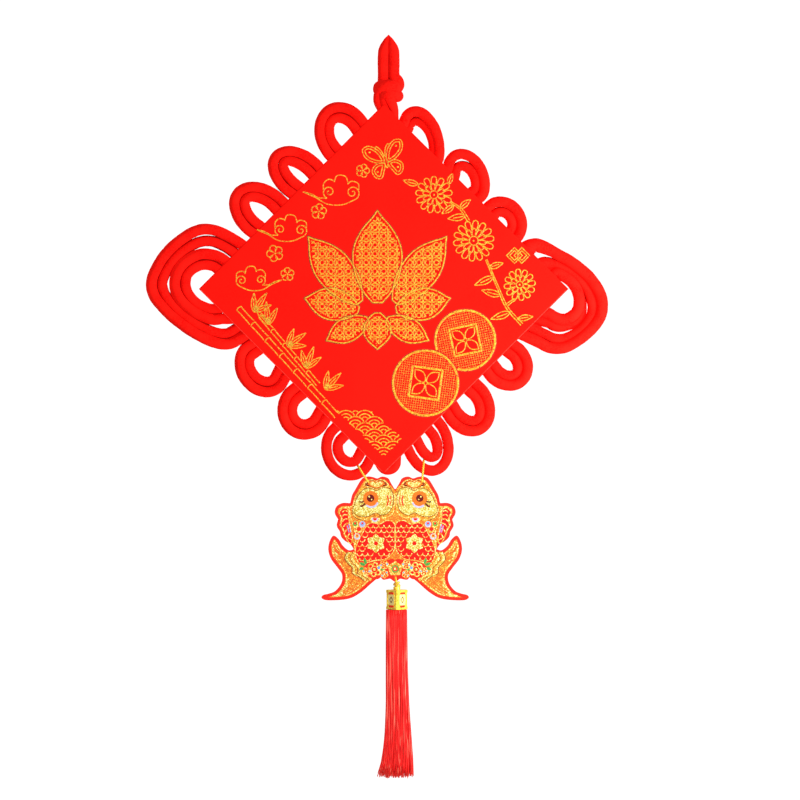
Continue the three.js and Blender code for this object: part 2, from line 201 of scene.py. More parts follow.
def with_painted_hollow_shade(crown: Socket, painted_hollow_shade: Shade, reach_mm: float, low: float, high: float) -> Socket:
    """Paints shade into a colour down in the hollows, where pile and strands hold the light back.

    Args:
        crown: the colour out on a crown.
        painted_hollow_shade: the colour of the painted shade down in a hollow.
        reach_mm: how far off another surface still counts.
        low: the share of open sky up to which only the painted shade shows.
        high: the share from which only the crown's colour shows.

    Returns:
        The colour's socket.
    """
    # Painted shade: where little open sky is found, the dark colour is mixed in.
    sky = add_node(crown.id_data, "ShaderNodeAmbientOcclusion", {"Distance": reach_mm * MM}, samples=8)
    return laid_over(sky.outputs["AO"], low, high, painted_hollow_shade, crown)


@dataclass(frozen=True)
class Plush:
    """Chenille cord cover: short polyester pile, cut and brushed, so it is matt; painted shade darkens its
    hollows.
    """

    name: str = "plush_cord_pile"
    lit: str = "#f8170e"
    deep: str = "#e20804"
    # Painted shade for the hollows between strands and in folds of the pile.
    painted_hollow_shade: str = "#a00200"
    rim: str = "#ff4630"
    tufts: Grain = Grain(1.3, 0.36, 0.6, 3.0)
    clouds: Grain = Grain(14.0, 0.35, 0.7, 1.0)

    def make(self) -> bpy.types.Material:
        """Makes the material."""
        material, shader, where = start_material(self.name)
        pile, height = self.tufts.shades(where, linear(self.deep), linear(self.lit))
        crown, _ = self.clouds.shades(where, pile, linear(self.lit))
        feed(shader, {
            # The base colour carries painted shade in the hollows.
            "Base Color": with_painted_hollow_shade(crown, linear(self.painted_hollow_shade), 5.0, 0.3, 0.7),
            "Normal": raised(height, 0.5, 0.16),
            "Roughness": 0.95,
            "Specular IOR Level": 0.05,
            "Sheen Weight": 0.06,
            "Sheen Roughness": 0.45,
            "Sheen Tint": linear(self.rim),
        })
        return material


@dataclass(frozen=True)
class Flock:
    """Nylon flock glued to a board: finer and flatter than plush, so it is an even red with a faint grain."""

    name: str = "flocked_velvet"
    lit: str = "#f8140b"
    deep: str = "#ec0f08"
    rim: str = "#ff6450"
    fibres: Grain = Grain(0.8, 0.3, 0.62)
    clouds: Grain = Grain(40.0, 0.3, 0.75, 1.0)

    def make(self) -> bpy.types.Material:
        """Makes the material."""
        material, shader, where = start_material(self.name)
        pile, height = self.fibres.shades(where, linear(self.deep), linear(self.lit))
        colour, _ = self.clouds.shades(where, pile, linear(self.lit))
        feed(shader, {
            "Base Color": colour,
            "Normal": raised(height, 0.25, 0.06),
            "Roughness": 1.0,
            "Specular IOR Level": 0.04,
            "Sheen Weight": 0.08,
            "Sheen Roughness": 0.35,
            "Sheen Tint": linear(self.rim),
        })
        return material


@dataclass(frozen=True)
class Glitter:
    """Polyester glitter set in clear glue: each flake is one flat shade, some bright and some nearly dark.

    Attributes:
        name: the material's name.
        base: the shade of most flakes.
        bright: the shade of those that catch the light.
        dark: the shade of those that are turned away.
        flake_mm: the size of a flake, coarser than a real one so that it shows in the picture.
        bright_share: how many flakes are bright.
        dark_share: how many are dark.
    """

    name: str
    base: str
    bright: str
    dark: str
    flake_mm: float = 0.7
    bright_share: float = 0.3
    dark_share: float = 0.2

    def make(self) -> bpy.types.Material:
        """Makes the material."""
        material, shader, where = start_material(self.name)
        tree = material.node_tree
        scale = 1 / (self.flake_mm * MM)
        flakes = add_node(tree, "ShaderNodeTexVoronoi", {"Vector": where, "Scale": scale})
        parts = add_node(tree, "ShaderNodeSeparateColor", {"Color": flakes.outputs["Color"]}).outputs
        soft = 0.1
        low, high = 1 - self.dark_share - soft, 1 - self.dark_share + soft
        dim = laid_over(parts["Green"], low, high, linear(self.base), linear(self.dark))
        low, high = 1 - self.bright_share - soft, 1 - self.bright_share + soft
        feed(shader, {
            "Base Color": laid_over(parts["Red"], low, high, dim, linear(self.bright)),
            "Normal": raised(parts["Blue"], 0.5, 0.12),
            "Roughness": 0.45,
            "Specular IOR Level": 0.25,
        })
        return material


@dataclass(frozen=True)
class Ink:
    """Printed ink or dyed nap, and also a painted shadow line and a painted edge highlight: one colour with
    the fine mottle of what is under it.
    """

    name: str
    base: str
    mottle: str
    grain_mm: float = 1.6
    rough: float = 0.5

    def make(self) -> bpy.types.Material:
        """Makes the material."""
        material, shader, where = start_material(self.name)
        colour, _ = Grain(self.grain_mm, 0.35, 0.68).shades(where, linear(self.base), linear(self.mottle))
        feed(shader, {"Base Color": colour, "Roughness": self.rough, "Specular IOR Level": 0.15})
        return material


@dataclass(frozen=True)
class GoldThread:
    """Metallised film wound on a core: bright yellow with dark turns, so it glints along the twist."""

    name: str = "metallised_gold_thread"
    bright: str = "#f0c83c"
    dark: str = "#c38214"
    turns: Grain = Grain(0.5, 0.4, 0.6, 1.0)

    def make(self) -> bpy.types.Material:
        """Makes the material."""
        material, shader, where = start_material(self.name)
        colour, _ = self.turns.shades(where, linear(self.dark), linear(self.bright))
        feed(shader, {"Base Color": colour, "Metallic": 0.35, "Roughness": 0.38})
        return material


@dataclass(frozen=True)
class Gilt:
    """Moulded ABS with a thin gilt coat: bright yellow gold, softened by the moulding's uneven skin."""

    name: str = "gilt_coated_abs"
    bright: str = "#f5d746"
    dull: str = "#d2a01e"
    patches: Grain = Grain(2.2, 0.38, 0.6)

    def make(self) -> bpy.types.Material:
        """Makes the material."""
        material, shader, where = start_material(self.name)
        colour, height = self.patches.shades(where, linear(self.dull), linear(self.bright))
        feed(shader, {
            "Base Color": colour,
            "Normal": raised(height, 0.25, 0.15),
            "Metallic": 0.15,
            "Roughness": 0.3,
        })
        return material


@dataclass(frozen=True)
class Yarn:
    """Loose rayon yarn: straight filaments, so light and dark streaks run down it, with a few thin painted
    highlights and painted shade between strands.

    Attributes:
        name: the material's name.
        lit: the yarn's colour in the light.
        deep: its colour in the shade.
        painted_hollow_shade: painted shade, the colour between two strands.
        painted_glint_and_sheen_tint: the colour of the painted highlights on a few filaments, also the
            sheen's tint.
        streaks: the light and dark streaks across the yarn.
        painted_glints: where the painted highlights lie along the yarn.
        length: the scale of both down the yarn, which draws them out to streaks.
    """

    name: str = "rayon_tassel_yarn"
    lit: str = "#fa211d"
    deep: str = "#d20c0c"
    # Painted shade for the hollows between strands.
    painted_hollow_shade: str = "#a80404"
    # Painted highlight colour, which the sheen also takes as its tint.
    painted_glint_and_sheen_tint: str = "#ff6e5a"
    streaks: Grain = Grain(1.1, 0.38, 0.6)
    # Patches of painted highlight, drawn out to thin streaks.
    painted_glints: Grain = Grain(0.9, 0.6, 0.72, 0.0)
    length: float = 0.03

    def make(self) -> bpy.types.Material:
        """Makes the material."""
        material, shader, where = start_material(self.name, (1, 1, self.length))
        strand, _ = self.streaks.shades(where, linear(self.deep), linear(self.lit))
        # Painted highlights laid over the streaked yarn colour.
        with_painted_glints, _ = self.painted_glints.shades(where, strand, linear(self.painted_glint_and_sheen_tint))
        feed(shader, {
            # The base colour carries painted shade between strands.
            "Base Color": with_painted_hollow_shade(with_painted_glints, linear(self.painted_hollow_shade), 3.0, 0.2, 0.75),
            "Roughness": 0.5,
            "Specular IOR Level": 0.2,
            "Sheen Weight": 0.12,
            "Sheen Roughness": 0.4,
            "Sheen Tint": linear(self.painted_glint_and_sheen_tint),
        })
        return material


class Finish(Enum):
    """The finishes, each with what makes it."""

    PLUSH = Plush()
    FLOCK = Flock()
    GOLD_LINE = Glitter(
        "gold_glitter_line", "#be8110", "#d2a82d", "#96280a", flake_mm=0.9, bright_share=0.36,
        dark_share=0.24,
    )
    # Painted shadow: a dark red line where the raised gold lines' shade falls on the flock.
    SHADOW_LINE = Ink("dark_red_painted_shadow_line", "#96100a", "#780a08")
    MESH_LINE = Glitter("orange_glitter_mesh", "#cd5a0c", "#dc9628", "#aa280a", flake_mm=0.8)
    HEAD_GLITTER = Glitter(
        "pale_gold_glitter", "#ae9332", "#f0e696", "#a5871e", flake_mm=0.75, dark_share=0.22,
    )
    TAIL_GLITTER = Glitter(
        "orange_glitter", "#c25f0b", "#e6a032", "#b9500f", flake_mm=0.8, bright_share=0.22,
        dark_share=0.3,
    )
    GOLD_BAND = Glitter("bright_gold_glitter", "#c48f22", "#f5e187", "#a0690f", flake_mm=0.8)
    COLLAR = Glitter("amber_glitter", "#be7209", "#e6af3c", "#9b4b0a", flake_mm=0.8, dark_share=0.3)
    # Painted highlight: the paler red line where the board's wrapped lower edges catch the light.
    PAINTED_EDGE_HIGHLIGHT = Ink("flock_painted_edge_highlight", "#f53c32", "#f02319", rough=0.9)
    BORDER = Ink("red_printed_border", "#e12311", "#d71c0e")
    PANEL = Ink("red_printed_panel", "#e61108", "#dc0e06")
    DARK = Ink("dark_printed_line", "#460a06", "#690c06")
    ORANGE = Ink("orange_printed_ring", "#cd5a14", "#d26c1c")
    PALE = Ink("pale_printed_crescent", "#b4afc3", "#9696b4")
    GREEN = Ink("green_printed_leaf", "#1e7d3c", "#5f9637")
    BLUE = Ink("blue_printed_petal", "#5a78af", "#7d9bc3")
    CREAM = Ink("cream_gilt_medallion", "#ebdc96", "#dcc364", rough=0.3)
    THREAD = GoldThread()
    GILT = Gilt()
    YARN = Yarn()
    FLOOR = Ink("pale_floor", "#f0f0ee", "#ebebe9", grain_mm=60, rough=0.9)


_made: dict[Finish, bpy.types.Material] = {}


def material_of(finish: Finish) -> bpy.types.Material:
    """The finish's material, made the first time that it is asked for."""
    if finish not in _made:
        _made[finish] = finish.value.make()
    return _made[finish]


# Meshes


class Maker:
    """Collects the vertices and faces of one piece, in millimetres, with a finish for each face."""

    def __init__(self) -> None:
        """Starts an empty piece."""
        self.points: list[Vector] = []
        self.faces: list[tuple[int, ...]] = []
        self.marks: list[int] = []
        self.finishes: list[Finish] = []

    def add(self, points: Iterable[Vector], faces: Iterable[tuple[int, ...]], finish: Finish) -> None:
        """Adds a mesh.

        Args:
            points: its vertices.
            faces: its faces, which count from its own first vertex.
            finish: what it is made of.
        """
        if finish not in self.finishes:
            self.finishes.append(finish)
        mark = self.finishes.index(finish)
        first = len(self.points)
        self.points.extend(points)
        for face in faces:
            self.faces.append(tuple(first + i for i in face))
            self.marks.append(mark)

    def build(
        self, name: str, slot: str, replaced: Iterable[str] = (), smooth: bool = True,
    ) -> bpy.types.Object:
        """Makes the object, dresses it and ties it to the body.

        Args:
            name: the piece's name.
            slot: the record's material slot; not used.
            replaced: the CAD nodes that it stands for.
            smooth: whether its faces are shaded smooth.

        Returns:
            The new object.
        """
        mesh = bpy.data.meshes.new(name)
        mesh.from_pydata([p * MM for p in self.points], [], self.faces)
        for finish in self.finishes:
            mesh.materials.append(material_of(finish))
        mesh.polygons.foreach_set("material_index", self.marks)
        mesh.polygons.foreach_set("use_smooth", [smooth] * len(self.faces))
        mesh.update()
        piece = bpy.data.objects.new(name, mesh)
        bpy.context.scene.collection.objects.link(piece)
        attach(piece, BODY)
        if replaced:
            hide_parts(*replaced)
        log.info("%s: %d faces", name, len(self.faces))
        return piece


def smooth_path(points: list[Vector], step: float) -> list[Vector]:
    """Runs a centripetal curve through points.

    Args:
        points: the places that the curve passes.
        step: about how far apart its new points are.

    Returns:
        The curve's points, with both ends.
    """
    before = points[0] * 2 - points[1]
    after = points[-1] * 2 - points[-2]
    row = [before, *points, after]
    found: list[Vector] = []
    for p0, p1, p2, p3 in zip(row, row[1:], row[2:], row[3:]):
        t1 = max((p1 - p0).length, 1e-6) ** 0.5
        t2 = t1 + max((p2 - p1).length, 1e-6) ** 0.5
        t3 = t2 + max((p3 - p2).length, 1e-6) ** 0.5
        count = max(1, round((p2 - p1).length / step))
        for i in range(count):
            t = t1 + (t2 - t1) * i / count
            a1 = p0.lerp(p1, t / t1)
            a2 = p1.lerp(p2, (t - t1) / (t2 - t1))
            a3 = p2.lerp(p3, (t - t2) / (t3 - t2))
            b1 = a1.lerp(a2, t / t2)
            b2 = a2.lerp(a3, (t - t1) / (t3 - t1))
            found.append(b1.lerp(b2, (t - t1) / (t2 - t1)))
    found.append(points[-1].copy())
    return found


def turned_frames(path: list[Vector], up: Vector) -> list[tuple[Vector, Vector]]:
    """Carries a frame along a path without twist.

    Args:
        path: the path's points.
        up: the direction that the frame's second axis starts nearest to.

    Returns:
        For each point the side axis and the up axis.
    """
    last = len(path) - 1
    tangents = [(path[min(i + 1, last)] - path[max(i - 1, 0)]).normalized() for i in range(last + 1)]
    axis = (up - tangents[0] * up.dot(tangents[0])).normalized()
    frames = []
    for tangent in tangents:
        axis = (axis - tangent * axis.dot(tangent)).normalized()
        frames.append((tangent.cross(axis), axis))
    return frames


@dataclass
class Sweep:
    """A round or oval section drawn along a path.

    Attributes:
        wide: half its width, or a function of the share of the path.
        deep: its depth as a share of its width.
        sides: the faces round it.
        lump: how far the pile stands in and out.
        lump_mm: the size of one lump.
        pucker: how deep the folds on the inside of a tight bend are, as a share of the half-width.
        fold_mm: the spacing of those folds.
        closed: whether the path's end joins its start.
        up: the direction that the section's depth starts nearest to.
    """

    wide: float | Callable[[float], float]
    deep: float = 1.0
    sides: int = 16
    lump: float = 0.0
    lump_mm: float = 2.6
    pucker: float = 0.0
    fold_mm: float = 3.4
    closed: bool = False
    up: Vector = field(default_factory=lambda: Vector((0, 1, 0)))

    def mesh(self, path: list[Vector]) -> tuple[list[Vector], list[tuple[int, ...]]]:
        """Draws the section along a path.

        Args:
            path: the points, evenly spaced.

        Returns:
            The vertices and the faces.
        """
        last = len(path) - 1
        points: list[Vector] = []
        gone = 0.0
        for i, (side, up) in enumerate(turned_frames(path, self.up)):
            here = path[i]
            half = self.wide(i / last) if callable(self.wide) else self.wide
            back, ahead = path[max(i - 1, 0)], path[min(i + 1, last)]
            gone += (here - back).length
            reach = max((ahead - here).length * (here - back).length, 1e-6)
            bend = (ahead + back - here * 2) / reach
            tight = min(1.0, max(0.0, bend.length * half - 0.3) / 0.5)
            fold = 0.5 + 0.5 * math.cos(2 * math.pi * gone / self.fold_mm + 2 * noise.noise(here / 5))
            for k in range(self.sides):
                turn = 2 * math.pi * k / self.sides
                ray = side * math.cos(turn) + up * (math.sin(turn) * self.deep)
                size = half
                if self.pucker and tight:
                    inward = max(0.0, ray.dot(bend.normalized()))
                    size -= half * self.pucker * tight * fold * inward**2
                place_now = here + ray * size
                if self.lump:
                    fine = noise.noise(place_now / self.lump_mm)
                    broad = noise.noise(place_now / (4 * self.lump_mm))
                    place_now += ray * (self.lump * (fine + 1.4 * broad))
                points.append(place_now)
        starts = [i * self.sides for i in range(last + 1)]
        joints = list(zip(starts, starts[1:]))
        if self.closed:
            joints.append((starts[-1], 0))
        faces = []
        for here, ahead in joints:
            for k in range(self.sides):
                beside = (k + 1) % self.sides
                faces.append((ahead + k, ahead + beside, here + beside, here + k))
        if not self.closed:
            faces.append(tuple(range(self.sides)))
            faces.append(tuple(reversed(range(starts[-1], starts[-1] + self.sides))))
        return points, faces


# The plush cord's knot


@dataclass(frozen=True)
class Cord:
    """The cord's own sizes.

    Attributes:
        width: the solid's width in the frame.
        seam: the gap between strands there.
        shown: the width with its pile.
        wing_shown: that of the wings' strands, which lie looser.
        outer_inset: how far inside an ear's outline the outer strand's middle runs.
        inner_inset: the same for the inner strand.
        sides: the faces round a strand.
        step: about how far apart the points of its path are.
    """

    width: float = 9.5
    seam: float = 0.4
    shown: float = 10.4
    wing_shown: float = 10.7
    outer_inset: float = 5.05
    inner_inset: float = 14.4
    sides: int = 20
    step: float = 1.3

    @property
    def pitch(self) -> float:
        """The distance from strand to strand."""
        return self.width + self.seam

    @property
    def pair(self) -> float:
        """The width of two strands side by side."""
        return self.width + self.pitch

    def sweep(self, wide: float | Callable[[float], float] | None = None, deep: float = 0.96) -> Sweep:
        """The section of a strand, with its pile and its folds."""
        return Sweep(wide or self.shown / 2, deep=deep, sides=self.sides, lump=0.17, pucker=0.3)


CORD = Cord()
FOOT_TUCK = 3 - CORD.seam  # how far a strand reaches in behind the board


@dataclass(frozen=True)
class BoardPlace:
    """Where the board stands."""

    side: float = 250
    x: float = -4.7
    z: float = -234
    back: float = -8
    thick: float = 6

    @property
    def half_diagonal(self) -> float:
        """From the middle to a corner."""
        return self.side * HALF_SQUARE

    @property
    def front(self) -> float:
        """The front face's Y."""
        return self.back - self.thick

    def at(self, across: float, up: float, y: float = 0.0) -> Vector:
        """A place from the board's middle."""
        return Vector((self.x + across, y, self.z + up))


BOARD = BoardPlace()


class Edge(Enum):
    """The board's edges: the corner where each starts, which way it runs and which way is outward."""

    UPPER_LEFT = ((0, 1), (-1, -1), (-1, 1))
    UPPER_RIGHT = ((0, 1), (1, -1), (1, 1))
    LOWER_LEFT = ((-1, 0), (1, -1), (-1, -1))
    LOWER_RIGHT = ((1, 0), (-1, -1), (1, -1))

    def at(self, along: float, out: float, y: float = 0.0) -> Vector:
        """A place by its distance along the edge and outward from it."""
        start, run, outward = self.value
        x = start[0] * BOARD.half_diagonal + (run[0] * along + outward[0] * out) * HALF_SQUARE
        z = start[1] * BOARD.half_diagonal + (run[1] * along + outward[1] * out) * HALF_SQUARE
        return BOARD.at(x, z, y)


@dataclass(frozen=True)
class Ear:
    """A double loop that stands out from the board's edge.

    Attributes:
        name: its letter.
        edge: the edge that it stands on.
        at: the distance along that edge.
        half: the half-width of its outline.
        rise: how far out its widest part is.
        height: from there to the tip.
        lean: the slant along the edge.
        slack: the opening between its two strands.
    """

    name: str
    edge: Edge
    at: float
    half: float
    rise: float
    height: float
    lean: float
    slack: float

    @property
    def foot(self) -> float:
        """The half-width of the outline at the board's edge."""
        return self.half * math.sqrt(1 - (self.rise / self.height) ** 2)

    @property
    def inner_inset(self) -> float:
        """How far inside the outline the inner strand's middle runs."""
        return CORD.inner_inset + self.slack

    @property
    def inner_back(self) -> float:
        """How far the inner strand stands back where there is less room than a cord's width."""
        room = (CORD.pitch + self.slack) * math.cos(math.atan(self.lean)) - 2 * CORD.seam
        return max(0.0, CORD.pitch - room) * 2 * 9.2 / CORD.width

    def shape(self, inset: float) -> tuple[float, float, float, float]:
        """Foot, rise, half-width and height of the outline drawn in by inset.

        Args:
            inset: how far it is drawn in.

        Returns:
            The four distances.
        """
        reach = self.rise + self.height - inset
        foot = self.foot - inset
        rise = min(self.rise, max(0.0, reach - 0.9 * foot))
        half = foot + (self.half - inset - foot) * (rise / self.rise)
        return foot, rise, half, reach - rise

    def point(self, inset: float, degrees: float) -> tuple[float, float]:
        """The distance along and out from the edge at an angle round the ear.

        Args:
            inset: how far the outline is drawn in.
            degrees: the angle.

        Returns:
            The two distances.
        """
        _, rise, half, height = self.shape(inset)
        turn = math.radians(degrees)
        out = rise + height * math.sin(turn)
        return self.at + half * math.cos(turn) + self.lean * out, out

    def path(self, inset: float, back: float) -> list[Vector]:
        """The middle of a strand.

        Args:
            inset: how far it runs inside the outline.
            back: how far it stands back.

        Returns:
            The path's points.
        """
        foot = self.shape(inset)[0]
        turns = [180 - 22.5 * i for i in range(9)]
        row = [(self.at - foot, -2 * FOOT_TUCK), (self.at - foot, -FOOT_TUCK / 2)]
        row += [self.point(inset, degrees) for degrees in turns]
        row += [(self.at + foot, -FOOT_TUCK / 2), (self.at + foot, -2 * FOOT_TUCK)]
        return smooth_path([self.edge.at(along, out, back) for along, out in row], CORD.step)


EARS = [
    Ear("A", Edge.UPPER_LEFT, 48.5, 27.7, 6.1, 33.1, -0.13, 0.2),
    Ear("B", Edge.UPPER_LEFT, 104, 23.9, 9.2, 34.2, 0.07, 0.6),
    Ear("C", Edge.UPPER_LEFT, 154.8, 26.3, 8.2, 36.2, 0.06, 0.5),
    Ear("D", Edge.UPPER_RIGHT, 50, 30.4, 6, 20.4, -0.6, -3),
    Ear("E", Edge.UPPER_RIGHT, 107.6, 28.6, 9.4, 20, -0.34, 0),
    Ear("F", Edge.UPPER_RIGHT, 160.3, 26.6, 6.3, 18, -0.08, 0),
    Ear("G", Edge.LOWER_LEFT, 94.8, 29.8, 10.1, 25.8, 0.09, 0),
    Ear("H", Edge.LOWER_LEFT, 152.3, 27.4, 10.1, 28, 0.1, 0),
    Ear("I", Edge.LOWER_LEFT, 208.6, 28.8, 7.7, 27.1, 0.16, 2.6),
    Ear("J", Edge.LOWER_RIGHT, 92.5, 24.3, 8.2, 27.9, 0, 0.3),
    Ear("K", Edge.LOWER_RIGHT, 146.2, 25.9, 9.6, 31.6, 0.1, 0.3),
    Ear("L", Edge.LOWER_RIGHT, 197.2, 25.5, 8.4, 31.3, 0.24, 2.6),
]


@dataclass(frozen=True)
class Foot:
    """Where a wing's strands reach the board.

    Attributes:
        edge: the board's edge.
        middles: how far along it the middle of each strand is, the outer strand first.
        slants: how far each strand moves along the edge for each millimetre that it goes inward.
    """

    edge: Edge
    middles: tuple[float, float, float, float]
    slants: tuple[float, float, float, float] = (0, 0, 0, 0)

    def tucked(self, strand: int, y: float) -> list[Vector]:
        """Where a strand runs behind the board, from its hidden end outward."""
        outs = (-3 * FOOT_TUCK, -FOOT_TUCK / 2)
        return [self.edge.at(self.middles[strand] - self.slants[strand] * out, out, y) for out in outs]


@dataclass(frozen=True)
class Wing:
    """Four nested strands at a corner.

    Attributes:
        name: which side it is on.
        depths: how far each strand stands behind the middle, the outer one first.
        start: where the strands leave the board.
        end: where they come back to it.
        route: rows of a place on the outline, the place facing it on the rim, and the openings after the
            first strand and after the second one.
        drawn: each strand's middle line, for a wing that isn't even enough for a route.
        widths: shares of the outer strand's path, each with the width there.
    """

    name: str
    depths: tuple[float, float, float, float]
    start: Foot
    end: Foot
    route: tuple[tuple[float, float, float, float, float, float], ...] = ()
    drawn: tuple[tuple[Point, ...], ...] = ()
    widths: tuple[tuple[float, float], ...] = ()

    def half_width(self, strand: int) -> float | Callable[[float], float]:
        """Half of a strand's width.

        Args:
            strand: its number, the outer one being 0.

        Returns:
            The half-width, or a function of the share of the path that gives it.
        """
        if strand or not self.widths:
            return CORD.wing_shown / 2

        def half(share: float) -> float:
            """Half of the width at a share of the path."""
            for (here, width), (there, wide) in zip(self.widths, self.widths[1:]):
                if share <= there:
                    return (width + (wide - width) * (share - here) / (there - here)) / 2
            return self.widths[-1][1] / 2

        return half

    def share(self, strand: int, span: float, first: float, second: float) -> float:
        """How far a strand's middle is from the outline to the rim, with openings after the first two.

        Args:
            strand: its number, the outer one being 0.
            span: the distance from the outline to the rim.
            first: the width of the first opening.
            second: the width of the second opening.

        Returns:
            The share of the span.
        """
        pitch = (span - first - second) / 4
        gap = first * (strand > 0) + second * (strand > 1)
        return ((strand + 0.5) * pitch + gap) / span

    def path(self, strand: int) -> list[Vector]:
        """The middle of a strand.

        Args:
            strand: its number, the outer one being 0.

        Returns:
            The path's points.
        """
        y = self.depths[strand]
        row = [BOARD.at(x, z, y) for x, z in self.drawn[strand]] if self.drawn else []
        for out_x, out_z, rim_x, rim_z, first, second in self.route:
            share = self.share(strand, math.dist((out_x, out_z), (rim_x, rim_z)), first, second)
            row.append(BOARD.at(out_x + (rim_x - out_x) * share, out_z + (rim_z - out_z) * share, y))
        return smooth_path(
            [*self.start.tucked(strand, y), *row, *reversed(self.end.tucked(strand, y))], CORD.step,
        )


LEFT_WING = Wing(
    "left",
    (-1.2, 1.2, -1.2, 1.2),
    Foot(Edge.UPPER_LEFT, (190.5, 201.5, 213, 223.5)),
    Foot(Edge.LOWER_LEFT, (62.3, 51.8, 40, 25.4), (0, 0.2, 0.7, 0.8)),
    (
        (-146, 55, -166, 18, 0, 1.2),
        (-163, 62, -172, 19, 0.6, 2.6),
        (-179, 61.6, -177, 18, 1.2, 1.6),
        (-202.7, 47.3, -182, 15, 0.4, 0),
        (-219, 28.5, -185, 11, 0, 0),
        (-228, 6.5, -185.6, 5.6, 0, 2.2),
        (-225.5, -6.5, -184, -1.2, 0, 1.2),
        (-215, -20.5, -181.6, -5.6, 0, 0),
        (-200, -34, -178, -9.6, 0, 0),
        (-180, -47.5, -173.6, -12.1, 0, 0.8),
        (-158, -56.8, -167.3, -14.1, 0, 2.8),
        (-146, -57, -159, -13.6, 0, 4.6),
    ),
)
RIGHT_WING = Wing(
    "right",
    (-2, 2.4, 7.6, -3),
    Foot(Edge.UPPER_RIGHT, (194.7, 212.5, 221, 230), (0.6, 1, 0.8, 0.5)),
    Foot(Edge.LOWER_RIGHT, (62, 51.5, 41.5, 31), (0.38, 0.36, 0.5, 0.4)),
    drawn=(
        (
            (144.8, 41.9), (151.4, 41), (159.9, 37.4), (169.2, 32.4), (176, 28.9), (186.4, 21.4), (197, 12),
            (204.1, 2.5), (208.5, -6.6), (209.7, -15.4), (208.5, -24.2), (204.7, -31.6), (198.7, -38.9),
            (189.3, -47.1), (180, -53.1), (172.1, -56.3), (164.9, -57), (157.4, -55.6), (149.3, -51.2),
        ),
        (
            (153.6, 26), (160.7, 25.2), (169, 21.9), (180, 15.9), (189.9, 7.2), (196.4, -2.7), (200, -11.1),
            (201, -17.6), (199.4, -26), (194.8, -33.6), (187.8, -40.2), (177.9, -46), (169.5, -48),
            (162.2, -47),
            (154, -42.8),
        ),
        (
            (162, 22.2), (169.9, 19.4), (178.2, 14.6), (184.6, 7.2), (188.6, -3), (189.8, -11), (190, -18.6),
            (189.3, -23.6), (187.2, -27.6), (183.8, -30.8), (179.2, -33.2), (174.6, -34.7), (170.4, -35.4),
            (164, -34.6), (158.6, -31.8),
        ),
        (
            (165.6, 15.6), (171, 13.3), (177.7, 9), (182.9, 3.2), (186.2, -4), (187.3, -10), (187.1, -14.4),
            (186.1, -18.6), (183.9, -22.4), (181, -25.2), (177.6, -27.3), (174, -28.4), (170.2, -28.4),
            (166.4, -27.4), (162.8, -25.7), (158.4, -23),
        ),
    ),
    widths=((0, 19), (0.035, 18), (0.07, 14.6), (0.16, 11), (0.5, 11.2), (1, 10.4)),
)


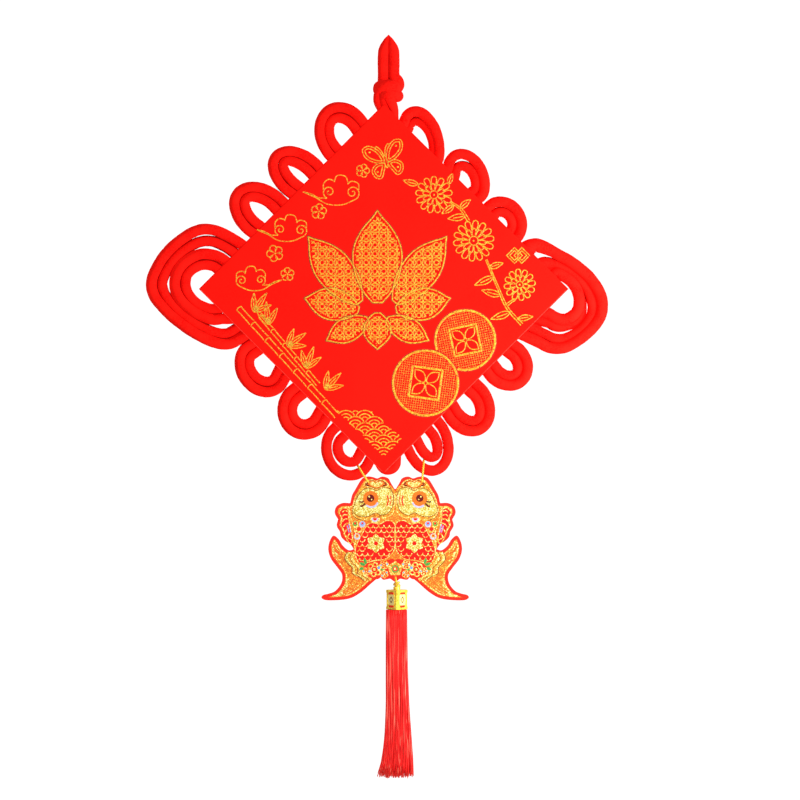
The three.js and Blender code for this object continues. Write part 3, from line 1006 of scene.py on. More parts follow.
@dataclass
class KnotCord:
    """The cord's ears, wings, woven middle, hanging loop, top knot and bottom bend.

    Attributes:
        weave_lift: how far a run of the woven middle rises over a run that it crosses.
        weave_deep: a strand's depth there as a share of its width, because the pile is pressed.
        loop_half: half the distance between the middles of the hanging loop's legs.
        loop_foot: the height of the loop's foot.
    """

    weave_lift: float = 3.4
    weave_deep: float = 0.86
    loop_half: float = 5.1
    loop_foot: float = -29.6

    def build(self) -> None:
        """Makes every piece of the cord."""
        self.build_ears()
        self.build_wings()
        self.build_weave()
        self.build_loop()
        self.build_top_knot()
        self.build_bend()

    def strand(
        self, name: str, node: str, path: list[Vector], half: float | Callable[
            [float], float,
        ] = CORD.shown / 2
    ) -> None:
        """Makes one strand in place of its node.

        Args:
            name: the piece's name.
            node: the node that it stands for.
            path: places along its middle.
            half: its half-width.
        """
        maker = Maker()
        maker.add(*CORD.sweep(half).mesh(path), Finish.PLUSH)
        maker.build(name, "plush_cord", [node])

    def build_ears(self) -> None:
        """Makes the double loops."""
        for ear in EARS:
            self.strand(f"plush_ear_{ear.name}_outer", f"ear_{ear.name}_outer", ear.path(CORD.outer_inset, 0))
            inner = ear.path(ear.inner_inset, ear.inner_back)
            self.strand(f"plush_ear_{ear.name}_inner", f"ear_{ear.name}_inner", inner)

    def build_wings(self) -> None:
        """Makes the nested strands at the left and right corners."""
        for wing in (LEFT_WING, RIGHT_WING):
            for strand in range(4):
                name = f"wing_{wing.name}_{strand + 1}"
                self.strand(f"plush_{name}", name, wing.path(strand), wing.half_width(strand))

    def run_places(self, edge: Edge) -> list[float]:
        """Where the doubled runs reach an edge.

        Args:
            edge: the board's edge.

        Returns:
            How far along it the middle of each run is, in order.
        """
        places = []
        for ear in EARS:
            if ear.edge is edge:
                off = ear.foot - CORD.pair / 2
                places += [ear.at - off, ear.at + off]
        for wing in (LEFT_WING, RIGHT_WING):
            for foot in (wing.start, wing.end):
                if foot.edge is edge:
                    places += [sum(foot.middles[:2]) / 2, sum(foot.middles[2:]) / 2]
        return sorted(places)

    def build_weave(self) -> None:
        """Makes the runs behind the board, each of two strands, over and under each other."""
        families = (
            (Edge.UPPER_LEFT, Edge.LOWER_RIGHT, 1),
            (Edge.UPPER_RIGHT, Edge.LOWER_LEFT, -1),
        )
        rows = {edge: self.run_places(edge) for edge in Edge}
        maker = Maker()
        for start_edge, end_edge, sign in families:
            other_start, other_end = families[1 if sign == 1 else 0][:2]
            others = list(zip(rows[other_start], rows[other_end]))
            for i, (begin, finish) in enumerate(zip(rows[start_edge], rows[end_edge])):
                slant = (finish - begin) / BOARD.side
                shares = []
                for other_begin, other_finish in others:
                    other_slant = (other_finish - other_begin) / BOARD.side
                    meet = (other_begin + other_slant * begin) / BOARD.side / (1 - slant * other_slant)
                    shares.append(meet)
                for side in (-1, 1):
                    shift = side * CORD.pitch / 2
                    first = start_edge.at(begin + shift, -FOOT_TUCK)
                    last = end_edge.at(finish + shift, -FOOT_TUCK)
                    row = [first]
                    for j, share in enumerate(shares):
                        lift = sign * (-self.weave_lift if (i + j) % 2 else self.weave_lift)
                        row.append(first.lerp(last, share) + Vector((0, lift, 0)))
                    row.append(last)
                    path = smooth_path(row, 2.2)
                    section = Sweep(CORD.shown / 2, deep=self.weave_deep, sides=14, lump=0.2)
                    maker.add(*section.mesh(path), Finish.PLUSH)
        maker.build("plush_weave", "plush_cord", ["knot_body"])

    def build_loop(self) -> None:
        """Makes the hanging loop, which is pinched to a point."""
        maker = Maker()
        for side in (-1, 1):
            row = [
                Vector((side * self.loop_half, 0, self.loop_foot - 6)),
                Vector((side * self.loop_half, 0, self.loop_foot + 8)),
                Vector((side * self.loop_half, 0, -12)),
                Vector((side * (self.loop_half - 0.5), 0, -4)),
                Vector((side * 2.8, 0, 3.2)),
                Vector((side * 0.7, 0, 8.8)),
                Vector((0, 0, 10.4)),
            ]
            path = smooth_path(row, CORD.step)
            pinch = lambda share: max(0.0, (share - 0.62) / 0.38) ** 1.5
            half = lambda share: CORD.shown / 2 * (1.04 - 0.98 * pinch(share))
            maker.add(*CORD.sweep(half).mesh(path), Finish.PLUSH)
        maker.build("plush_hang_loop", "plush_cord", ["hang_loop"])

    def build_top_knot(self) -> None:
        """Makes the overhand knot under the loop, with the two strands that leave it."""
        maker = Maker()
        rows = (
            ((-5.2, 0, -27), (-5, 1, -40), (-4.5, 1, -50)),
            ((5.2, 0, -26), (6.4, 0, -30), (9.7, 0.5, -35), (9.3, 4, -39.5), (4, 7, -43)),
            (
                (-8.6, -3, -44), (-9.6, -2.4, -50), (-9.2, -1.6, -54.4), (-7, -1, -59), (-5.4, 0, -63),
                (-5.6, 0, -75.4),
            ),
            ((3, 7, -45), (8.4, 3.6, -47), (8.9, -2.4, -49.4), (4, -7.6, -47.5), (-3, -8.2, -44)),
            (
                (-5, -7.4, -47), (-0.4, -9.8, -49.4), (2.3, -7.8, -54.5), (4.1, -4, -61), (4.5, 0, -68),
                (4.5, 0, -75.4),
            ),
            ((-5.4, -5, -46), (-3.8, -5.4, -53), (-2, -4, -60), (-0.6, 0, -68), (-0.6, 2, -75.4)),
        )
        for row in rows:
            path = smooth_path([Vector(spot) for spot in row], CORD.step)
            maker.add(*CORD.sweep().mesh(path), Finish.PLUSH)
        ring = []
        for i in range(72):
            turn = 2 * math.pi * i / 72
            lift = -1.2 * math.sin(turn) + 0.2 * math.cos(turn)
            ring.append(Vector((8.3 * math.cos(turn) - 1.5, 8.2 * math.sin(turn), lift - 41.6)))
        band = Sweep(5.3, deep=1.34, sides=CORD.sides, lump=0.25, closed=True, up=Vector((0, 0, 1)))
        maker.add(*band.mesh(ring), Finish.PLUSH)
        maker.build("plush_top_knot", "plush_cord", ["top_knot"])

    def build_bend(self) -> None:
        """Makes the bend of cord behind the bottom corner."""
        x, z, radius = -0.6, -399.6, 7.3
        row = [Vector((x - radius, 0, z + 8))]
        for degrees in range(180, 361, 20):
            turn = math.radians(degrees)
            row.append(Vector((x + radius * math.cos(turn), 0, z + radius * math.sin(turn))))
        row.append(Vector((x + radius, 0, -387.8)))
        self.strand("plush_bottom_bend", "bottom_bend", smooth_path(row, CORD.step))


# The board


@dataclass
class VelvetBoard:
    """A square board wrapped in flocked cloth, which stands on its corner.

    Attributes:
        grid: cells along a side of the front face.
        roll: the radius of its wrapped edges.
        dents: places on the face where the board was pressed, as across, up, width and depth.
    """

    grid: int = 96
    roll: float = 1.5
    dents: tuple[tuple[float, float, float, float], ...] = ((113, -44, 5, 0.5), (58, -110, 4.5, 0.45))

    def dent(self, across: float, up: float) -> float:
        """How far the face is pressed in at a place.

        Args:
            across: the place's distance from the middle line.
            up: its distance above the middle.

        Returns:
            The depth.
        """
        depth = 0.0
        for x, z, wide, deep in self.dents:
            near = ((across - x) ** 2 + (up - z) ** 2) / wide**2
            if near < 9:
                depth += deep * math.exp(-near) * (1 + 0.6 * noise.noise(Vector((across, up, 0)) / 2))
        return depth

    def build(self) -> None:
        """Makes the board."""
        half = BOARD.side / 2
        flat = half - self.roll
        steps = [-flat + 2 * flat * i / self.grid for i in range(self.grid + 1)]
        turns = [math.radians(degrees) for degrees in (22.5, 45, 67.5, 90)]
        roll = [(self.roll * math.sin(turn), self.roll * (1 - math.cos(turn))) for turn in turns]
        lows = [(-flat - out, depth) for out, depth in reversed(roll)]
        highs = [(flat + out, depth) for out, depth in roll]
        stops = lows + [(step, 0.0) for step in steps] + highs
        count = len(stops)
        maker = Maker()
        for front in (True, False):
            points = []
            for a, sunk_a in stops:
                for b, sunk_b in stops:
                    across, up = (a + b) * HALF_SQUARE, (b - a) * HALF_SQUARE
                    left = (self.roll - sunk_a) ** 2 + (self.roll - sunk_b) ** 2 - self.roll**2
                    round_sunk = self.roll - math.sqrt(max(0.0, left))
                    sunk = min(self.roll, round_sunk if sunk_a and sunk_b else max(sunk_a, sunk_b))
                    if front:
                        y = BOARD.front + sunk + self.dent(across, up)
                    else:
                        y = BOARD.back - sunk
                    points.append(BOARD.at(across, up, y))
            faces = []
            for i in range(count - 1):
                for j in range(count - 1):
                    first, second = i * count + j, (i + 1) * count + j
                    faces.append((first, first + 1, second + 1, second))
            maker.add(points, faces, Finish.FLOCK)
        rim = [i * count for i in range(count)]
        rim += [(count - 1) * count + j for j in range(1, count)]
        rim += [i * count + count - 1 for i in range(count - 2, -1, -1)]
        rim += [j for j in range(count - 2, 0, -1)]
        back = count * count
        faces = [(here, ahead, back + ahead, back + here) for here, ahead in zip(rim, rim[1:] + rim[:1])]
        maker.faces += faces
        maker.marks += [0] * len(faces)
        piece = maker.build("velvet_board", "velvet_board", ["board"])
        outward(piece)
        # The painted highlight along the lower edges.
        self.build_painted_edge_highlight()

    def build_painted_edge_highlight(self) -> None:
        """Makes the painted highlight along the two lower edges, a paler thin line where the wrapped edges
        catch the light.
        """
        maker = Maker()
        for side in (-1, 1):
            row = []
            for i in range(101):
                share = 0.01 + 0.98 * i / 100
                row.append((side * BOARD.half_diagonal * (1 - share), -BOARD.half_diagonal * share))
            inward = (-side * 0.75 * HALF_SQUARE, 0.75 * HALF_SQUARE)
            face = BOARD.front + 0.3
            to_place = lambda p, height: BOARD.at(p[0] + inward[0], p[1] + inward[1], face - height)
            # A pale red ribbon just inside each lower edge stands in for the light on the rounded edge.
            ribbon(maker, row, Pen(0.8, Finish.PAINTED_EDGE_HIGHLIGHT, 0.25), to_place)
        maker.build("painted_edge_highlight_line", "velvet_board")


def outward(piece: bpy.types.Object) -> None:
    """Turns all faces of a closed piece outward.

    Args:
        piece: the piece's object.
    """
    mesh = bmesh.new()
    mesh.from_mesh(piece.data)
    bmesh.ops.remove_doubles(mesh, verts=mesh.verts, dist=1e-6)
    bmesh.ops.recalc_face_normals(mesh, faces=mesh.faces)
    mesh.to_mesh(piece.data)
    mesh.free()


# Lines and plates


def flat_curve(points: Iterable[Point], step: float, closed: bool = False) -> Line:
    """Runs a smooth curve through flat points.

    Args:
        points: the places that the curve passes.
        step: about how far apart its new points are.
        closed: whether it comes back to its first point.

    Returns:
        The curve's points.
    """
    row = [Vector((x, y, 0)) for x, y in points]
    if not closed:
        return [(p.x, p.y) for p in smooth_path(row, step)]
    ring = row[-2:] + row + row[:3]
    path = smooth_path(ring, step)
    first = min(range(len(path)), key=lambda i: (path[i] - row[0]).length + (0 if i < len(path) / 2 else 1e3))
    last = min(range(len(path)), key=lambda i: (path[i] - row[0]).length + (0 if i > len(path) / 2 else 1e3))
    return [(p.x, p.y) for p in path[first:last]]


def shrink(outline: Line, by: float) -> Line:
    """Draws a closed outline in on every side.

    Args:
        outline: its points.
        by: how far.

    Returns:
        The points of the smaller outline.
    """
    area = sum(a[0] * b[1] - b[0] * a[1] for a, b in zip(outline, outline[1:] + outline[:1]))
    sign = 1 if area > 0 else -1
    found = []
    count = len(outline)
    for i in range(count):
        before, here, after = Vector(outline[i - 1]), Vector(outline[i]), Vector(outline[(i + 1) % count])
        along = (after - before).normalized()
        spot = here + Vector((-along.y, along.x)) * (sign * by)
        clear = min((spot - Vector(p)).length for p in outline)
        if clear > by * 0.93:
            found.append((spot.x, spot.y))
    return found


def plate(maker: Maker, outline: Line, front: float, back: float, finish: Finish, to_place: ToPlace) -> None:
    """Adds a flat plate.

    Args:
        maker: the piece that it goes to.
        outline: the plate's closed outline.
        front: its front face's Y.
        back: its back face's Y.
        finish: what it is made of.
        to_place: turns an outline point and a Y to a place.
    """
    count = len(outline)
    points = [to_place(p, y) for y in (front, back) for p in outline]
    middle = tessellate_polygon([[Vector((x, y, 0)) for x, y in outline]])
    faces = [tuple(three) for three in middle]
    faces += [tuple(count + i for i in reversed(three)) for three in middle]
    faces += [(i, (i + 1) % count, count + (i + 1) % count, count + i) for i in range(count)]
    mesh = bpy.data.meshes.new("plate")
    mesh.from_pydata([tuple(p) for p in points], [], faces)
    shaped = bmesh.new()
    shaped.from_mesh(mesh)
    bmesh.ops.recalc_face_normals(shaped, faces=shaped.faces)
    shaped.verts.index_update()
    faces = [tuple(corner.index for corner in face.verts) for face in shaped.faces]
    maker.add([corner.co.copy() for corner in shaped.verts], faces, finish)
    shaped.free()
    bpy.data.meshes.remove(mesh)


@dataclass(frozen=True)
class Pen:
    """A glue line with its finish, which stands a little above what it is drawn on."""

    width: float
    finish: Finish
    height: float = 0.28


def ribbon(maker: Maker, line: Line, pen: Pen, to_place: ToPlace, closed: bool = False) -> None:
    """Draws a line as a low crowned ridge.

    Args:
        maker: the piece that it goes to.
        line: the line's points.
        pen: its width, height and finish.
        to_place: turns a point and a height to a place.
        closed: whether its end joins its start.
    """
    count = len(line)
    if count < 2:
        return
    points = []
    for i, here in enumerate(line):
        before = line[i - 1] if i or closed else here
        after = line[(i + 1) % count] if i < count - 1 or closed else here
        dx, dy = after[0] - before[0], after[1] - before[1]
        size = math.hypot(dx, dy) or 1.0
        half = pen.width / 2 * (1 + 0.28 * noise.noise(Vector((here[0], here[1], 0)) / 1.7))
        nx, ny = -dy / size * half, dx / size * half
        points.append(to_place((here[0] + nx, here[1] + ny), 0))
        points.append(to_place(here, pen.height))
        points.append(to_place((here[0] - nx, here[1] - ny), 0))
    steps = range(count if closed else count - 1)
    faces = []
    for i in steps:
        j = (i + 1) % count
        faces += [(3 * i, 3 * i + 1, 3 * j + 1, 3 * j), (3 * i + 1, 3 * i + 2, 3 * j + 2, 3 * j + 1)]
    lift = to_place(line[0], 1) - to_place(line[0], 0)
    if (points[4] - points[1]).cross(points[0] - points[2]).dot(lift) < 0:
        faces = [face[::-1] for face in faces]
    maker.add(points, faces, pen.finish)


def dot(maker: Maker, centre: Point, radius: float, pen: Pen, to_place: ToPlace) -> None:
    """Adds a low round dot.

    Args:
        maker: the piece that it goes to.
        centre: its middle.
        radius: its radius.
        pen: its height and finish.
        to_place: turns a point and a height to a place.
    """
    rim = ring_line(centre, radius, 8)
    points = [to_place(p, 0) for p in rim] + [to_place(centre, pen.height * 1.3)]
    maker.add(points, [(i, (i + 1) % 8, 8) for i in range(8)], pen.finish)


def ring_line(centre: Point, radius: float, count: int = 40, squash: float = 1.0, turn: float = 0.0) -> Line:
    """A circle or an oval.

    Args:
        centre: its middle.
        radius: its radius across.
        count: how many points.
        squash: its height as a share of its width.
        turn: how far it is turned, in degrees.

    Returns:
        Its points.
    """
    row = []
    for i in range(count):
        angle = 2 * math.pi * i / count
        row.append((radius * math.cos(angle), radius * squash * math.sin(angle)))
    return moved(row, centre, turn)


def arc_line(centre: Point, radius: float, degrees: Iterable[float], height: float | None = None) -> Line:
    """An arc's points at some angles, on an oval where a height is given beside its radius.

    Args:
        centre: the circle's middle.
        radius: its radius, or half of the oval's width.
        degrees: the angles.
        height: half of the oval's height.

    Returns:
        The points, in order.
    """
    tall = radius if height is None else height
    turns = [math.radians(angle) for angle in degrees]
    return [(centre[0] + radius * math.cos(turn), centre[1] + tall * math.sin(turn)) for turn in turns]


def straight_sides(corners: Line, pieces: int) -> Line:
    """The points of a closed outline with straight sides, each side cut to a number of pieces.

    Args:
        corners: the outline's corners.
        pieces: the number of pieces of each side.

    Returns:
        The points, in order.
    """
    row = []
    for (x0, y0), (x1, y1) in zip(corners, corners[1:] + corners[:1]):
        row += [(x0 + (x1 - x0) * k / pieces, y0 + (y1 - y0) * k / pieces) for k in range(pieces)]
    return row


def moved(
    line: Iterable[Point], centre: Point, turn: float = 0.0, size: float = 1.0, mirror: bool = False
) -> Line:
    """Mirrors, scales, turns and then shifts a line.

    Args:
        line: its points.
        centre: where its own origin goes.
        turn: the turn in degrees, to the left.
        size: the scale.
        mirror: whether left and right change places first.

    Returns:
        The new points.
    """
    cos, sin = math.cos(math.radians(turn)), math.sin(math.radians(turn))
    side = -size if mirror else size
    sized = [(side * x, size * y) for x, y in line]
    return [(centre[0] + x * cos - y * sin, centre[1] + x * sin + y * cos) for x, y in sized]


def spiral(centre: Point, radius: float, turns: float, start: float, left: bool = True) -> Line:
    """A curl that winds in to its middle.

    Args:
        centre: its middle.
        radius: its outer radius.
        turns: how many turns.
        start: the angle of its outer end in degrees.
        left: whether it winds to the left.

    Returns:
        Its points, the outer end first.
    """
    count = max(8, round(turns * 22))
    sign = 1 if left else -1
    row = []
    for i in range(count + 1):
        share = i / count
        angle = math.radians(start) + sign * 2 * math.pi * turns * share
        reach = radius * (1 - 0.86 * share)
        row.append((centre[0] + reach * math.cos(angle), centre[1] + reach * math.sin(angle)))
    return row


def inside(point: Point, outline: Line) -> bool:
    """Whether a point is inside a closed outline.

    Args:
        point: the point.
        outline: the outline's points.

    Returns:
        True where it is inside.
    """
    x, y = point
    found = False
    for (x0, y0), (x1, y1) in zip(outline, outline[1:] + outline[:1]):
        if (y0 > y) != (y1 > y) and x < (x1 - x0) * (y - y0) / (y1 - y0) + x0:
            found = not found
    return found


def clipped(line: Line, keep: Callable[[Point], bool], closed: bool = False) -> list[Line]:
    """Cuts a line down to the stretches that are kept.

    Args:
        line: its points.
        keep: says whether a point is kept.
        closed: whether its end joins its start.

    Returns:
        The kept stretches.
    """
    row = line + line[:1] if closed else line
    found: list[Line] = [[]]
    for point in row:
        if keep(point):
            found[-1].append(point)
        elif found[-1]:
            found.append([])
    return [part for part in found if len(part) > 1]


GOLD_PEN = Pen(1.35, Finish.GOLD_LINE)
FINE_PEN = Pen(1.0, Finish.GOLD_LINE)
LATTICE_PEN = Pen(0.95, Finish.GOLD_LINE, 0.22)
BOLD_PEN = Pen(2.1, Finish.GOLD_LINE, 0.35)
# A low dark red line of painted shadow beside raised gold lines.
PAINTED_SHADOW_PEN = Pen(0.9, Finish.SHADOW_LINE, 0.08)
MESH_PEN = Pen(0.42, Finish.MESH_LINE, 0.06)

# A petal from its foot to its tip: the share of its length, and the share of its width there
PETAL = (
    (0, 0.2), (0.1, 0.52), (0.25, 0.82), (0.42, 0.98), (0.58, 0.97), (0.72, 0.78), (0.84, 0.48), (0.93, 0.18),
    (1, 0),
)


def petal(foot: Point, turn: float, length: float, width: float) -> Line:
    """A closed petal.

    Args:
        foot: the middle of its foot.
        turn: the direction that it points in, in degrees from the right.
        length: its length.
        width: its width.

    Returns:
        Its points.
    """
    right = [(t * length, -w * width / 2) for t, w in PETAL]
    left = [(t * length, w * width / 2) for t, w in reversed(PETAL[:-1])]
    sides = [flat_curve(moved(side, foot, turn), 1.3) for side in (right, [right[-1], *left])]
    return sides[0][:-1] + sides[1]


def leaf(foot: Point, turn: float, length: float, width: float) -> list[Line]:
    """A narrow leaf with its rib.

    Args:
        foot: where it starts.
        turn: the direction that it points in, in degrees.
        length: its length.
        width: its width.

    Returns:
        Its two sides and its rib.
    """
    bow = [(length * t, width / 2 * math.sin(math.pi * t**0.8)) for t in (0, 0.15, 0.35, 0.55, 0.75, 0.9, 1)]
    rib = [(length * t, width * 0.06 * math.sin(math.pi * t)) for t in (0.12, 0.4, 0.7)]
    low = [(x, -y * 0.8) for x, y in bow]
    return [flat_curve(moved(row, foot, turn), 1.3) for row in (bow, low, rib)]


@dataclass
class Drawing:
    """The glitter drawing on the board: a lotus of coin lattice, with plants, clouds and waves round it.

    Attributes:
        middle: the lotus's middle from the board's middle.
        pitch: the spacing of its coin lattice.
    """

    middle: Point = (-6, 7)
    pitch: float = 8.4

    def __post_init__(self) -> None:
        """Starts the piece that all lines go to."""
        self.maker = Maker()

    def to_place(self, point: Point, height: float) -> Vector:
        """A place on the board's face."""
        return BOARD.at(point[0], point[1], BOARD.front - 0.03 - height)

    def line(self, line: Line, pen: Pen = GOLD_PEN, closed: bool = False) -> None:
        """Draws one line."""
        ribbon(self.maker, line, pen, self.to_place, closed)

    def dots(self, centres: Iterable[Point], radius: float = 0.8) -> None:
        """Draws dots."""
        for centre in centres:
            dot(self.maker, centre, radius, FINE_PEN, self.to_place)

    def build(self) -> None:
        """Makes the drawing."""
        self.draw_lotus()
        self.draw_chrysanthemums()
        self.draw_bamboo()
        self.draw_clouds()
        self.draw_butterfly()
        self.draw_coins()
        self.draw_waves()
        self.draw_diamonds()
        self.maker.build("glitter_drawing", "velvet_board")

    def draw_lotus(self) -> None:
        """Draws the lotus: petals on a low foot, each with coin lattice and a dark red line of painted shadow
        round it.
        """
        x, y = self.middle
        petals = [
            ((x, y - 20), 90, 88, 47),
            ((x - 17, y - 20), 128, 80, 35), ((x + 17, y - 20), 52, 80, 35),
            ((x - 18, y - 27), 168, 53, 30), ((x + 18, y - 27), 12, 53, 30),
            ((x - 9, y - 36), 207, 45, 23), ((x + 9, y - 36), -27, 45, 23),
            ((x, y - 30), 270, 35, 26),
        ]
        for foot, turn, length, width in petals:
            outline = petal(foot, turn, length, width)
            # Painted shadow round the petal's gold outline.
            self.line(shrink(outline, -1.1), PAINTED_SHADOW_PEN, closed=True)
            self.line(outline, GOLD_PEN, closed=True)
            self.fill_with_coins(shrink(outline, 2.0))

    def fill_with_coins(self, limit: Line) -> None:
        """Draws coin lattice inside a limit: round coins that cut each other, with a square in each.

        Args:
            limit: the closed outline that it stays inside.
        """
        left, right = min(p[0] for p in limit), max(p[0] for p in limit)
        low, high = min(p[1] for p in limit), max(p[1] for p in limit)
        keep = lambda p: inside(p, limit)
        for i in range(math.floor(left / self.pitch), math.ceil(right / self.pitch) + 1):
            for j in range(math.floor(low / self.pitch), math.ceil(high / self.pitch) + 1):
                spot = (i * self.pitch, j * self.pitch)
                coin = ring_line(spot, self.pitch * 0.62, 28)
                corners = [(-1.7, -1.7), (1.7, -1.7), (1.7, 1.7), (-1.7, 1.7)]
                square = flat_curve(moved(corners, spot), 1.0, closed=True)
                for shape in (coin, square):
                    for part in clipped(shape, keep, closed=True):
                        self.line(part, LATTICE_PEN)

    def draw_chrysanthemum(self, spot: Point, radius: float, count: int) -> None:
        """Draws a chrysanthemum: two rings of narrow petals round a dotted middle.

        Args:
            spot: its middle.
            radius: its radius.
            count: the number of petals in its outer ring.
        """
        for ring, (low, high, number) in enumerate(((0.52, 1.0, count), (0.26, 0.62, count - 3))):
            for i in range(number):
                turn = 360 * (i + ring / 2) / number + 7
                reach = radius * (high - low)
                wide = 2 * math.pi * radius * (low + high) / 2 / number * 0.86
                side = [
                    (0, -wide * 0.3), (reach * 0.5, -wide * 0.46), (reach * 0.88, -wide * 0.36),
                    (reach, 0),
                ]
                row = side + [(x, -y) for x, y in reversed(side[:-1])]
                foot = arc_line(spot, radius * low, [turn])[0]
                self.line(flat_curve(moved(row, foot, turn), 1.2), FINE_PEN)
        self.line(ring_line(spot, radius * 0.22, 18), FINE_PEN, closed=True)
        self.dots([spot], 0.9)

    def draw_blossom(self, spot: Point, radius: float, turn: float) -> None:
        """Draws a small flower with five round petals.

        Args:
            spot: its middle.
            radius: its radius.
            turn: the angle that it is turned by.
        """
        for k in range(5):
            here = moved([(radius * 0.56, 0)], spot, turn + 72 * k)[0]
            arc = arc_line((0, 0), radius * 0.42, range(-125, 126, 25))
            self.line(moved(arc, here, turn + 72 * k), FINE_PEN)
            self.line(moved([(radius * 0.2, 0), (radius * 0.5, 0)], spot, turn + 36 + 72 * k), FINE_PEN)
        self.dots([spot], 0.9)

    def draw_stem(self, row: list[Point], width: float = 2.4) -> None:
        """Draws a stem as two lines that draw together.

        Args:
            row: places along it, from its foot.
            width: its width at the foot.
        """
        path = flat_curve(row, 1.4)
        for side in (-1, 1):
            line = []
            for i, here in enumerate(path):
                before, after = path[max(i - 1, 0)], path[min(i + 1, len(path) - 1)]
                dx, dy = after[0] - before[0], after[1] - before[1]
                size = math.hypot(dx, dy) or 1
                half = side * width / 2 * (1 - 0.5 * i / len(path))
                line.append((here[0] - dy / size * half, here[1] + dx / size * half))
            self.line(line, FINE_PEN)

    def draw_chrysanthemums(self) -> None:
        """Draws the spray along the upper right edge."""
        for spot, radius, count in (((48, 90), 17.5, 13), ((86, 46), 19.5, 14), ((130, 4), 15, 12)):
            self.draw_chrysanthemum(spot, radius, count)
        self.draw_stem([(132, -34), (118, -18), (108, 4), (98, 28)])
        self.draw_stem([(81, 65), (74, 76), (64, 83)])
        self.draw_stem([(117, -16), (122, -12), (126, -10)])
        leaves = (
            ((78, 70), 190, 17, 7), ((73, 77), 40, 13, 6), ((67, 80), 215, 14, 6), ((121, -22), 200, 20, 7),
            ((128, -29), 10, 15, 6), ((33, 100), 165, 15, 6), ((112, -6), 165, 19, 7),
            ((105, 12), 205, 20, 7),
            ((101, 20), 20, 14, 6), ((62, 100), 70, 11, 5),
        )
        for foot, turn, length, width in leaves:
            for row in leaf(foot, turn, length, width):
                self.line(row, FINE_PEN)

    def draw_bamboo(self) -> None:
        """Draws two bamboo canes and their leaves along the lower left edge."""
        canes = (((-44, -122), (-139, -18), 5.2, 7), ((-62, -92), (-118, -26), 3.8, 5))
        node_share = 0.56
        for (x0, y0), (x1, y1), width, count in canes:
            length = math.dist((x0, y0), (x1, y1))
            turn = math.degrees(math.atan2(y1 - y0, x1 - x0))
            for i in range(count):
                start, end = length * (i + 0.04) / count, length * (i + 0.96) / count
                for side in (-1, 1):
                    wide, slim = side * width * node_share, side * width / 2
                    row = [(start, wide), (start + 2, slim), (end - 2, slim), (end, wide)]
                    self.line(flat_curve(moved(row, (x0, y0), turn), 1.5), FINE_PEN)
                node = [(end, -width * node_share), (end + 0.7, 0), (end, width * node_share)]
                self.line(flat_curve(moved(node, (x0, y0), turn), 1.2), FINE_PEN)
        tufts = (((-74, -76), 75), ((-92, -55), 40), ((-110, -34), 100), ((-56, -96), 50), ((-124, -22), 60))
        for foot, turn in tufts:
            for k, spread in enumerate((-38, -4, 30)):
                for row in leaf(foot, turn + spread, 22 - 4 * abs(k - 1), 5.2):
                    self.line(row, FINE_PEN)

    def draw_cloud(self, spot: Point, size: float, mirror: bool = False) -> None:
        """Draws a curled cloud: two curls under a lobed top, with a tail.

        Args:
            spot: its middle.
            size: its scale.
            mirror: whether it faces the other way.
        """
        shapes = [
            spiral((-9, 0), 5.2, 1.5, 250, left=False),
            spiral((7.5, 0.5), 4.6, 1.4, 290, left=True),
            flat_curve([(-13.5, 2), (-13, 6.5), (-8, 8), (-5.5, 6)], 1.0),
            flat_curve([(-6, 6.5), (-4, 11.5), (2, 12), (4, 7.5)], 1.0),
            flat_curve([(3.6, 8.4), (8, 9.4), (11.4, 6.4), (11.6, 2)], 1.0),
            flat_curve([(-10.8, -4.9), (-2, -8.5), (9, -8), (17, -3.5), (26, 0.5)], 1.2),
            flat_curve([(9.1, -3.9), (15, -3.6), (20, -1), (26, 0.5)], 1.2),
        ]
        for shape in shapes:
            self.line(moved(shape, spot, 0, size, mirror), FINE_PEN)

    def draw_clouds(self) -> None:
        """Draws the clouds along the upper left edge."""
        for spot, size, mirror in (((-42, 92), 1.35, True), ((-90, 56), 1.2, True), ((-126, 8), 1.1, False)):
            self.draw_cloud(spot, size, mirror)
        blossoms = (((-62, 74), 7.5, 10), ((-104, 34), 8, 40), ((-20, 113), 6.5, 0), ((-92, 14), 6.5, 20))
        for spot, radius, turn in blossoms:
            self.draw_blossom(spot, radius, turn)

    def draw_butterfly(self) -> None:
        """Draws a butterfly in the top corner."""
        spot, turn = (2, 122), 14
        wings = (
            [(1, 1), (5, 12), (13, 18), (19, 16), (18, 8), (10, 1), (2, -1)],
            [(2, -1), (10, -1), (15, -6), (13, -13), (8, -15), (4, -9), (1.5, -3)],
        )
        for mirror in (False, True):
            for row in wings:
                outline = flat_curve(row, 1.1, closed=True)
                self.line(moved(outline, spot, turn, 1, mirror), FINE_PEN, closed=True)
                self.line(moved(shrink(outline, 2.4), spot, turn, 1, mirror), FINE_PEN, closed=True)
            self.dots(moved([(13, 12), (10, -8)], spot, turn, 1, mirror), 1.0)
            feeler = flat_curve([(0.4, 5), (2.4, 12), (6, 16), (7.4, 14), (6, 13)], 1.0)
            self.line(moved(feeler, spot, turn, 1, mirror), FINE_PEN)
        self.line(moved(ring_line((0, 0), 1.5, 18, 4.2), spot, turn), FINE_PEN, closed=True)

